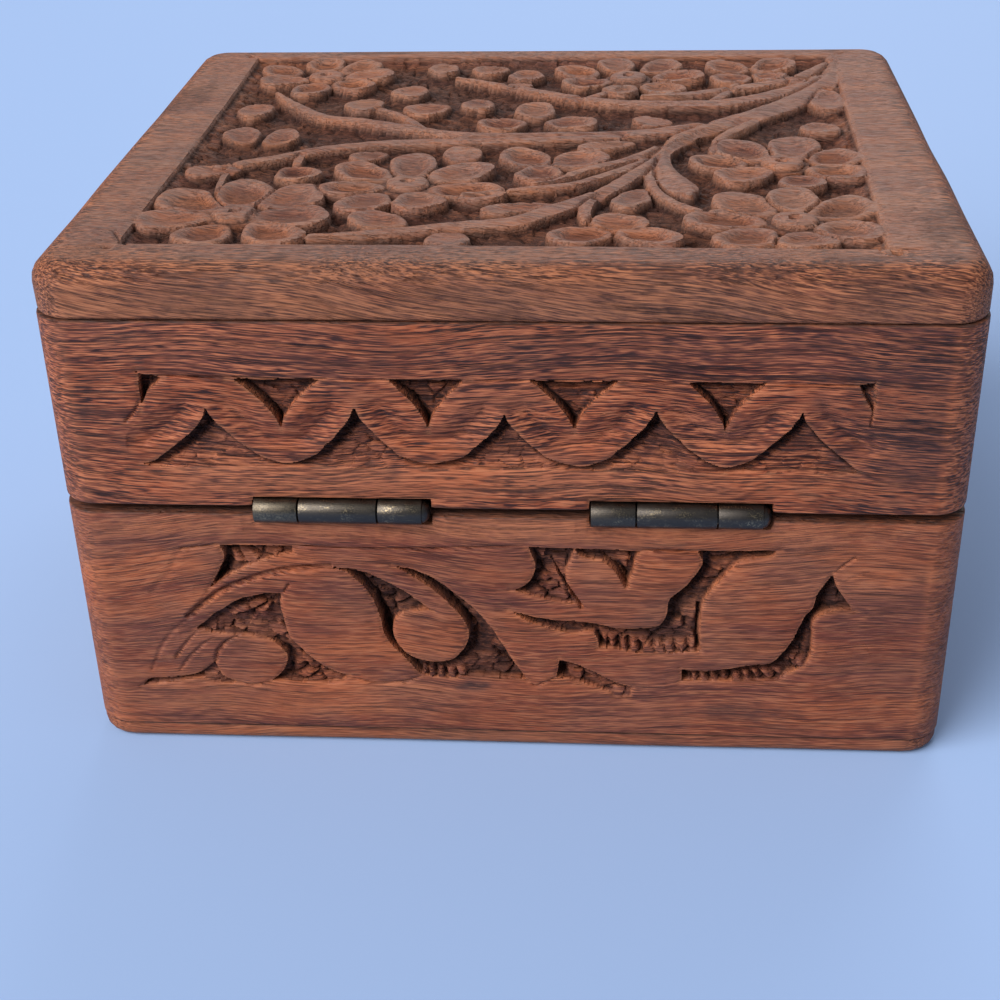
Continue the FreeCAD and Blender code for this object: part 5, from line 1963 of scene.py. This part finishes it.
@dataclass
class LidPanel(RimmedBoard):
    """The lid's thick top board with the carved field."""

    carving: Carving = field(default_factory=FloweringBranch)
    step: float = 0.28
    far_step: float = 0.42
    step_across: float = 0.255
    field_half: Point = (43.6, 40.2)
    rim_shares: Point = (0.33, 0.67)
    rim_drop: float = 0.05
    smudge: float = 0.55
    smudge_depths: Point = (4.6, 2.4)
    calm_rows: Point = (-42.0, -36.0)

    def build(self) -> bpy.types.Object:
        """Makes the carved grid, the rings from its edge over the rounded rim, and the flat underside.

        The grid's outermost points, taken anticlockwise from the middle of the
        right side, each lead to the point at the same share of the rim's
        quarter, so that rings join the square grid to the round-cornered rim.

        Returns:
            The dressed panel's mesh object.
        """
        low, high = box_of(self.node)
        wide, deep = self.field_half
        far = np.linspace(-deep, 0, round(deep / self.far_step) + 1)
        near = np.linspace(0, deep, round(deep / self.step) + 1)
        nx, ny, middle = 2 * round(wide / self.step_across), len(far) + len(near) - 2, len(far) - 1
        lines = np.concatenate([far, near[1:]])
        relief = self.carving.carve(np.linspace(-wide, wide, nx + 1), lines, self.step)
        grid = np.stack([relief.across, relief.up, high[2] + relief.height], -1).reshape(-1, 3)
        index = np.arange((nx + 1) * (ny + 1)).reshape(ny + 1, nx + 1)
        right, left = index[:, nx], index[:0:-1, 0]
        border = np.concatenate([right[middle:ny], index[ny, :0:-1], left, index[0, :nx], right[:middle]])
        edge = grid[border, :2]
        run = np.concatenate([[0.0], np.cumsum(np.abs(np.diff(edge, axis=0)).sum(1))]) / (wide + deep)
        quarter = np.minimum(np.floor(run + 1e-9), 3)
        profile = self.ring_profile(low[2], high[2])
        rings = self.rings((high[0], high[1]), profile, run - quarter, quarter)
        blend = np.array(self.rim_shares)[:, None, None]
        flat = edge[None] * (1 - blend) + rings[0][None, :, :2] * blend
        level = uneven_top(flat[..., 0], flat[..., 1])
        inner = np.concatenate([flat, (high[2] + level)[..., None]], -1)
        rings[0][:, 2] -= self.rim_drop
        loops = np.concatenate([inner, rings])
        count, n, first = len(loops), len(border), len(grid)
        loops = loops.reshape(-1, 3)
        ring = np.arange(n)
        to_rings = np.stack([border, ring + first, np.roll(ring, -1) + first, np.roll(border, -1)], -1)
        round_rim = grid_quads(count, n, True, first)[:, ::-1]
        quads = np.vstack([grid_quads(ny + 1, nx + 1), to_rings, round_rim])
        caps = [ring + first + (count - 1) * n]
        points = np.vstack([grid, loops]) * (-1, 1, 1)
        masks = self.masks(relief, loops, count, high[2])
        obj = make_piece(f"{self.node}_carved", points, quads[:, ::-1], caps, masks)
        return install(obj, self.node, self.body)

    def masks(self, relief: Relief, loops: Array, count: int, top: float) -> dict[str, Array]:
        """Masks for the colour, on the grid and then on the rings.

        The rim is rubbed most below its rounded edge, its upper part is smudged,
        and dust with painted sheen and a calmer figure end at the edge.

        Args:
            relief: the carved grid.
            loops: the rings' points, one row each.
            count: number of rings.
            top: height of the upper face.

        Returns:
            Values for each point, by attribute name.
        """
        n, half = len(loops) // count, count // 2 - 1
        rim = np.concatenate([np.zeros(2), np.linspace(0.0, 0.4, half), np.linspace(0.6, 0.2, half)])
        a, b, z = loops.T
        stain = np.zeros(len(loops))
        for spot in self.carving.stains_and_shade():
            stain = np.maximum(stain, spot.mark(a, b, (0.3, 1.2)))
        smudge = self.smudge * ease(smooth_noise(a + b, z, (13.0, 1.5), 29), 0.0, 0.7)
        start, end = self.smudge_depths
        on_rings = {
            "sunk": np.zeros(len(loops)),
            "worn": np.repeat(rim, n),
            "stain": np.maximum(stain, smudge * ease(z, top - start, top - end)),
            "calm": np.repeat(filled((0.6, 0.6, 0.3), count), n),
            "dust": np.repeat(filled((1.0, 1.0, 1.0, 0.35), count), n),
        }
        on_grid = {
            "sunk": relief.sunk,
            "worn": relief.worn,
            "stain": relief.stain,
            "calm": ease(-relief.up, *self.calm_rows),
            "dust": relief.dust,
        }
        return {name: np.concatenate([on_grid[name].ravel(), on_rings[name]]) for name in on_grid}


# Hinges.


@dataclass
class ButtHinge:
    """One small butt hinge: two leaves with rolled knuckles and a pin.

    One value says how much its end knuckle is rubbed bright, and how strong the painted glint along the
    barrel's top is.
    Bores and plate floors are those of the base's and of the lid's leaf; floors,
    plate end and tab are measured from the axis.
    """

    side: str
    glint_and_wear: float = 0.3
    slot: str = "hinge_brass"
    barrel: float = 1.5
    bores: tuple[float, float] = (1.0, 1.04)
    middle_half: float = 4.4
    gap: float = 0.15
    plate_floors: tuple[float, float] = (-0.55, 0.05)
    plate_thick: float = 0.5
    plate_end: float = 1.75
    tab: Point = (2.2, 1.05)
    plate_corner: float = 0.35
    plate_soft: float = 0.07
    plate_points: int = 10
    spare: float = 0.12
    head: Point = (0.88, 1.3)
    head_base: float = 0.9
    shank: float = 0.99

    def turned(self, profile: Array, y: float, z: float, count: int = 40) -> tuple[Array, Array]:
        """A closed profile of places along X and radii, turned round an axis along X.

        Args:
            profile: x and radius of each corner, in order round the section.
            y: the axis's place.
            z: the axis's height.
            count: points round the axis.

        Returns:
            The points and faces.
        """
        turn = np.linspace(0, 2 * math.pi, count, endpoint=False)
        x = np.broadcast_to(profile[:, :1], (len(profile), count))
        ring = profile[:, 1:] * (0.99 + 0.01 * np.sin(3 * turn + profile[:, :1]))
        points = np.stack([x, y + ring * np.cos(turn), z + ring * np.sin(turn)], -1)
        closed = np.concatenate([points, points[:1]]).reshape(-1, 3)
        quads = grid_quads(len(profile) + 1, count, wrap=True) % (len(profile) * count)
        return closed[: len(profile) * count], quads

    def knuckle(self, x0: float, x1: float, outer: float, bore: float) -> Array:
        """Section of a knuckle: a tube with rounded ends.

        Args:
            x0: one end.
            x1: the other end.
            outer: outer radius.
            bore: radius of the hole.

        Returns:
            x and radius of each corner.
        """
        s = self.spare
        return np.array([
            (x0, bore), (x0, outer - s), (x0 + 0.3 * s, outer - 0.3 * s), (x0 + s, outer),
            (x1 - s, outer), (x1 - 0.3 * s, outer - 0.3 * s), (x1, outer - s), (x1, bore),
        ])

    def plate(self, low: Sequence[float], high: Sequence[float]) -> tuple[Array, Array, list[Array]]:
        """A thin plate with round corners and slightly softened edges.

        Args:
            low: lowest corner.
            high: highest corner.

        Returns:
            Points, faces and caps.
        """
        soft = self.plate_soft
        share, quarter = quarters(self.plate_points)
        middle = np.add(low, high)[:2] / 2
        half = np.subtract(high, low)[:2] / 2
        rings = []
        for d, z in ((soft, low[2]), (0.0, low[2] + soft), (0.0, high[2] - soft), (soft, high[2])):
            size = (half[0] - d, half[1] - d)
            ring = rounded_rectangle(size, self.plate_corner, share, quarter) + middle
            rings.append(np.column_stack([ring, np.full(len(ring), z)]))
        n = len(share)
        caps = [np.arange(n)[::-1], np.arange(n) + 3 * n]
        return np.vstack(rings), grid_quads(4, n, wrap=True), caps

    def leaf(self, member: str) -> bpy.types.Object:
        """One leaf: its plate on the rim, its tabs and its knuckles.

        Args:
            member: "base" or "lid".

        Returns:
            The leaf's mesh object.
        """
        node = f"{self.side}_hinge_{member}_leaf"
        low, high = box_of(node)
        axis_y, axis_z = high[1] - self.barrel, (low[2] + high[2]) / 2
        centre = (low[0] + high[0]) / 2
        left, right = centre - self.middle_half, centre + self.middle_half
        if member == "base":
            bore, floor = self.bores[0], axis_z + self.plate_floors[0]
            spans = [(low[0], left - self.gap), (right + self.gap, high[0])]
        else:
            bore, floor = self.bores[1], axis_z + self.plate_floors[1]
            spans = [(left, right)]
        roof = floor + self.plate_thick
        parts = [self.plate((low[0], low[1], floor), (high[0], axis_y - self.plate_end, roof))]
        for x0, x1 in spans:
            inner = (x0 + 0.05, axis_y - self.tab[0], floor + 0.02)
            parts.append(self.plate(inner, (x1 - 0.05, axis_y - self.tab[1], roof - 0.02)))
            section = self.knuckle(x0, x1, self.barrel, bore)
            parts.append((*self.turned(section, axis_y, axis_z), []))
        points, quads, caps, start = [], [], [], 0
        for part_points, part_quads, part_caps in parts:
            points.append(part_points)
            quads.append(part_quads + start)
            caps += [c + start for c in part_caps]
            start += len(part_points)
        everywhere = np.vstack(points)
        # Bare metal: worn on the end knuckle, and a painted glint along the barrel's top.
        end = ease(everywhere[:, 0], high[0] - 5.2, high[0] - 4.9)
        top = ease(everywhere[:, 2], axis_z - 0.3, axis_z + 1.3)
        rubbed = {"rubbed": self.glint_and_wear * np.maximum(end, 0.5 * top)}
        obj = make_piece(f"{node}_rolled", everywhere, np.vstack(quads), caps, rubbed, sharp=40)
        return install(obj, node, member)

    def pin(self) -> bpy.types.Object:
        """The pin, with a domed end that stands out of the barrel towards -X.

        Returns:
            The pin's mesh object.
        """
        node = f"{self.side}_hinge_pin"
        low, high = box_of(node)
        y, z = (low[1] + high[1]) / 2, (low[2] + high[2]) / 2
        (long, wide), r = self.head, self.shank
        x, end = low[0] + self.head_base, high[0]
        turn = np.linspace(0.06, math.pi / 2, 8)
        dome = np.stack([x - long * np.cos(turn), wide * np.sin(turn)], -1)
        shank = np.array([(x, wide), (x + 0.02, r), (end - 0.1, r), (end, r - 0.09), (end, 0.03)])
        points, quads = self.turned(np.vstack([dome, shank]), y, z)
        obj = make_piece(f"{node}_domed", points, quads, sharp=45)
        return install(obj, node, "base")


# The box, its stage and the view.


@dataclass
class TrinketBox:
    """All the pieces of the box, with their finishes."""

    corner: float = 4.5
    hinge_places: Sequence[float] = (18.9, -18.9)
    notch: Point = (-9.65, 10.55)
    base_notch: Point = (30.75, 33.0)
    lid_notch: Point = (32.0, 34.15)
    side_stretch: float = 0.78
    lifted: float = 0.99
    hinges: Sequence[tuple[str, float]] = (("left", 0.12), ("right", 0.4))

    def notches(self, span: Point) -> list[list[Point]]:
        """Outlines of the recesses that take the hinge barrels, seen from behind.

        Args:
            span: lowest and highest edge.

        Returns:
            Four corners for each recess.
        """
        low, high = span
        made = []
        for x in self.hinge_places:
            left, right = self.notch[0] - x, self.notch[1] - x
            made.append([(left, low), (right, low), (right, high), (left, high)])
        return made

    def wall_boards(self) -> list[WallBoard]:
        """The eight carved wall boards. The back ones carry the hinges.

        Returns:
            The base's and the lid's board of each wall in turn.
        """
        base_spots = (
            Spot(-4.5, 8.8, 2.4, 0.9, 0.7), Spot(28.0, 5.8, 8.0, 1.3, 0.55),
            Spot(17.5, 28.8, 3.2, 0.6, 0.6), Spot(46.5, 23.0, 1.6, 4.0, 0.4),
            Spot(-12.4, 3.3, 1.3, 0.5, 0.5), Spot(33.0, 3.6, 7.0, 0.8, 0.4),
            # The first spot on the next line is painted shade that darkens the wall's right end.
            Spot(48.0, 14.0, 14.0, 22.0, 0.24), Spot(0.0, 30.4, 70.0, 1.9, -0.65),
            Spot(-30.0, 5.6, 14.0, 2.4, -0.3),
        )
        lid_spots = (
            Spot(-12.5, 37.6, 1.6, 0.9, 0.6), Spot(-46.0, 45.2, 1.5, 2.8, 0.45),
            Spot(42.6, 44.5, 2.4, 4.5, 0.45), Spot(36.0, 53.4, 9.0, 1.6, 0.5),
            Spot(-41.0, 53.6, 3.2, 1.0, 0.45), Spot(-42.5, 42.0, 2.0, 4.0, 0.3),
            # The first spot on the next line is painted shade that darkens the wall's right end.
            Spot(48.0, 44.0, 16.0, 22.0, 0.6), Spot(5.0, 52.5, 36.0, 2.8, 0.34),
            Spot(0.0, 36.4, 60.0, 2.4, -0.3),
        )
        boards = []
        rises = {Facing.LEFT: (self.lifted, 0.0), Facing.RIGHT: (0.0, self.lifted)}
        for facing in Facing:
            back = facing is Facing.BACK
            corner = self.corner if facing.wide else 0.0
            stretch = 1.0 if facing.wide else self.side_stretch
            scroll = LeafScroll(stretch, seed=23 + 3 * len(boards)).carving(
                base_spots if back else base_spots[:2], self.notches(self.base_notch) if back else ())
            boards.append(WallBoard(
                f"base_{facing.value}_wall", "base", facing, scroll, (-45.2 * stretch, 43.0 * stretch),
                (7.2, 28.6), 0.17 if back else 0.22, corner))
            seed = 11 + len(boards)
            if facing.wide:
                points, bends = (-24.5, -8.3, 7.6, 23.8), (-32.6, -16.3, 0.0, 16.3, 31.8)
                band = RibbonBand(points, bends, (-39.6, 39.2), seed=seed)
            else:
                points, bends = (-16.2, 0.0, 16.2), (-24.3, -8.1, 8.1, 24.3)
                band = RibbonBand(points, bends, (-31.4, 31.2), seed=seed)
            ribbon = band.carving(
                lid_spots if back else lid_spots[:1], self.notches(self.lid_notch) if back else ())
            span = (band.ends[0] - 3.0, band.ends[1] + 1.2)
            boards.append(WallBoard(
                f"lid_{facing.value}_wall", "lid", facing, ribbon, span, (37.6, 49.9),
                0.15 if back else 0.2, corner, rise=rises.get(facing, (0.0, 0.0))))
        return boards

    def woods(self) -> dict[tuple[str, bool], WoodFinish]:
        """The walls' finishes.

        Returns:
            A finish for each body's long and short walls.
        """
        return {
            ("base", True): WoodFinish(
                "base_wood_long", Grain.ALONG_X, (13.0, 40.0, 7.0), pale=(0.415, 0.128, 0.052),
                rubbed=(0.56, 0.190, 0.080), streaks=0.5, fibres=0.6),
            ("base", False): WoodFinish("base_wood_short", Grain.ALONG_Y, (71.0, 15.0, 33.0)),
            ("lid", True): WoodFinish(
                "lid_wood_long", Grain.ALONG_X, (210.0, 5.0, 61.0), pale=(0.410, 0.112, 0.043),
                light=(0.500, 0.156, 0.068), streaks=0.75, fibres=1.35),
            ("lid", False): WoodFinish("lid_wood_short", Grain.ALONG_Y, (320.0, 80.0, 22.0)),
        }

    def build(self) -> None:
        """Makes every piece and gives it its finish."""
        figure, handling_and_shade, tarnish = wood_figure_group(), handling_and_shade_group(), tarnish_group()
        made = {key: wood.material(figure, handling_and_shade) for key, wood in self.woods().items()}
        panel_wood = WoodFinish(
            "panel_wood", Grain.ALONG_X, (500.0, 31.0, 12.0), pale=(0.36, 0.135, 0.062),
            middle=(0.19, 0.062, 0.036), fibres=1.4, slant=0.16, inward=1.0)
        bottom_wood = WoodFinish("bottom_wood", Grain.ALONG_X, (700.0, 9.0, 5.0), inward=1.0)
        for board in self.wall_boards():
            board.build().data.materials.append(made[board.body, board.facing.wide])
        panel = LidPanel(
            "lid_panel", "lid", "panel_wood", self.corner, upper_edge=2.8, lower_edge=0.65)
        panel.build().data.materials.append(panel_wood.material(figure, handling_and_shade))
        bottom = BottomBoard(
            "base_bottom_board", "base", "bottom_wood", self.corner, upper_edge=0.25, lower_edge=1.3)
        bottom.build().data.materials.append(bottom_wood.material(figure, handling_and_shade))
        brass = MetalFinish("darkened_brass", (0.065, 0.058, 0.054), (0.34, 0.27, 0.17)).material(tarnish)
        steel = MetalFinish("dull_steel", (0.10, 0.095, 0.09), (0.42, 0.40, 0.37)).material(tarnish)
        for side, glint_and_wear in self.hinges:
            hinge = ButtHinge(side, glint_and_wear)
            for obj in (hinge.leaf("base"), hinge.leaf("lid"), hinge.pin()):
                obj.data.materials.append(brass)
            for member in ("base", "lid"):
                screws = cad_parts[f"{side}_hinge_{member}_screws"]
                screws.data.materials.clear()
                screws.data.materials.append(steel)
                LOG.info("%s: kept as modelled, new finish", screws.name)


def rotated(v: Array, axis: Array, angle: float) -> Array:
    """A vector turned about an axis: v cos + (axis x v) sin + axis (axis . v) (1 - cos)."""
    c, s = math.cos(angle), math.sin(angle)
    return v * c + np.cross(axis, v) * s + axis * (axis @ v) * (1 - c)


def stand(
    name: str, data: bpy.types.ID, right: Array, up: Array, back: Array, place: Sequence[float]
) -> bpy.types.Object:
    """Puts a lamp or a camera into the scene.

    Args:
        name: its name.
        data: the lamp or camera.
        right: the way to its right.
        up: the way to its top.
        back: the way away from what it looks at.
        place: where it stands, in metres.

    Returns:
        The new object.
    """
    obj = bpy.data.objects.new(name, data)
    pose = np.eye(4)
    pose[:3] = np.column_stack([right, up, back, place])
    obj.matrix_world = Matrix(pose.tolist())
    bpy.context.scene.collection.objects.link(obj)
    return obj


@dataclass(frozen=True)
class Lamp:
    """A square area lamp: where it stands and what it points at in metres, its side and its watts."""

    name: str
    place: Vector3
    aim: Vector3
    size: float
    power: float
    colour: Colour

    def build(self) -> None:
        """Puts the lamp into the scene, with its sides level."""
        data = bpy.data.lights.new(self.name, "AREA")
        data.size, data.energy, data.color = self.size, self.power, self.colour
        back = np.asarray(self.place) - np.asarray(self.aim)
        back /= np.linalg.norm(back)
        side = np.cross((0.0, 0.0, 1.0), back)
        side /= np.linalg.norm(side)
        stand(self.name, data, side, np.cross(back, side), back, self.place)


@dataclass
class Studio:
    """A pale floor, soft light and the camera. The key lamp is at the camera's left."""

    lens: float = 59.73
    sensor: float = 36.0
    nearest: float = 0.005
    place: Vector3 = (-12.41, 203.92, 124.89)
    yaw: float = 4.685
    pitch: float = 29.530
    roll: float = 1.518
    floor_half: float = 2500.0
    floor_colour: Colour = (0.358, 0.512, 0.835)
    sky_colour: Colour = (0.86, 0.92, 1.0)
    sky_strength: float = 0.30
    lamps: Sequence[Lamp] = (
        Lamp("key", (1.68, 1.52, 1.84), (0.0, 0.0, 0.03), 2.2, 112.0, (1.0, 0.97, 0.93)),
        Lamp("window", (-0.2, -1.0, 0.75), (-0.05, -0.2, 0.0), 0.9, 4.5, (0.95, 0.98, 1.0)),
    )

    def floor(self) -> None:
        """A wide pale floor under the box."""
        corners = np.array([(-1, -1, 0), (1, -1, 0), (1, 1, 0), (-1, 1, 0)], float)
        obj = make_piece("floor", self.floor_half * corners, np.array([[0, 1, 2, 3]]))
        paint, _, surface = new_material("pale_floor")
        surface.inputs["Base Color"].default_value = (*self.floor_colour, 1)
        surface.inputs["Roughness"].default_value = 0.7
        obj.data.materials.append(paint)

    def light(self) -> None:
        """Soft light from all round, a broad key lamp and a weak one beyond the box."""
        world = bpy.data.worlds.new("soft_room")
        world.use_nodes = True
        sky = world.node_tree.nodes["Background"]
        sky.inputs["Color"].default_value = (*self.sky_colour, 1)
        sky.inputs["Strength"].default_value = self.sky_strength
        bpy.context.scene.world = world
        for lamp in self.lamps:
            lamp.build()

    def camera(self) -> None:
        """The camera: right, forward and up turned in turn by yaw, pitch and roll."""
        right, ahead, up = np.array([-1.0, 0, 0]), np.array([0, -1.0, 0]), np.array([0, 0, 1.0])
        yaw, pitch, roll = (math.radians(a) for a in (self.yaw, self.pitch, self.roll))
        right, ahead = rotated(right, up, yaw), rotated(ahead, up, yaw)
        ahead, up = rotated(ahead, right, -pitch), rotated(up, right, -pitch)
        right, up = rotated(right, ahead, roll), rotated(up, ahead, roll)
        data = bpy.data.cameras.new("view")
        data.lens, data.sensor_width, data.clip_start = self.lens, self.sensor, self.nearest
        place = np.asarray(self.place) * MM
        bpy.context.scene.camera = stand("view", data, right, up, -ahead, place)

    def build(self) -> None:
        """Sets the stage."""
        self.floor()
        self.light()
        self.camera()
        bpy.context.scene.view_settings.view_transform = "Standard"


def main() -> None:
    """Builds the box and its stage."""
    logging.basicConfig(level=logging.INFO, format="%(message)s")
    TrinketBox().build()
    Studio().build()
    bpy.context.view_layer.update()
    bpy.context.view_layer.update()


if __name__ == "__main__":
    main()
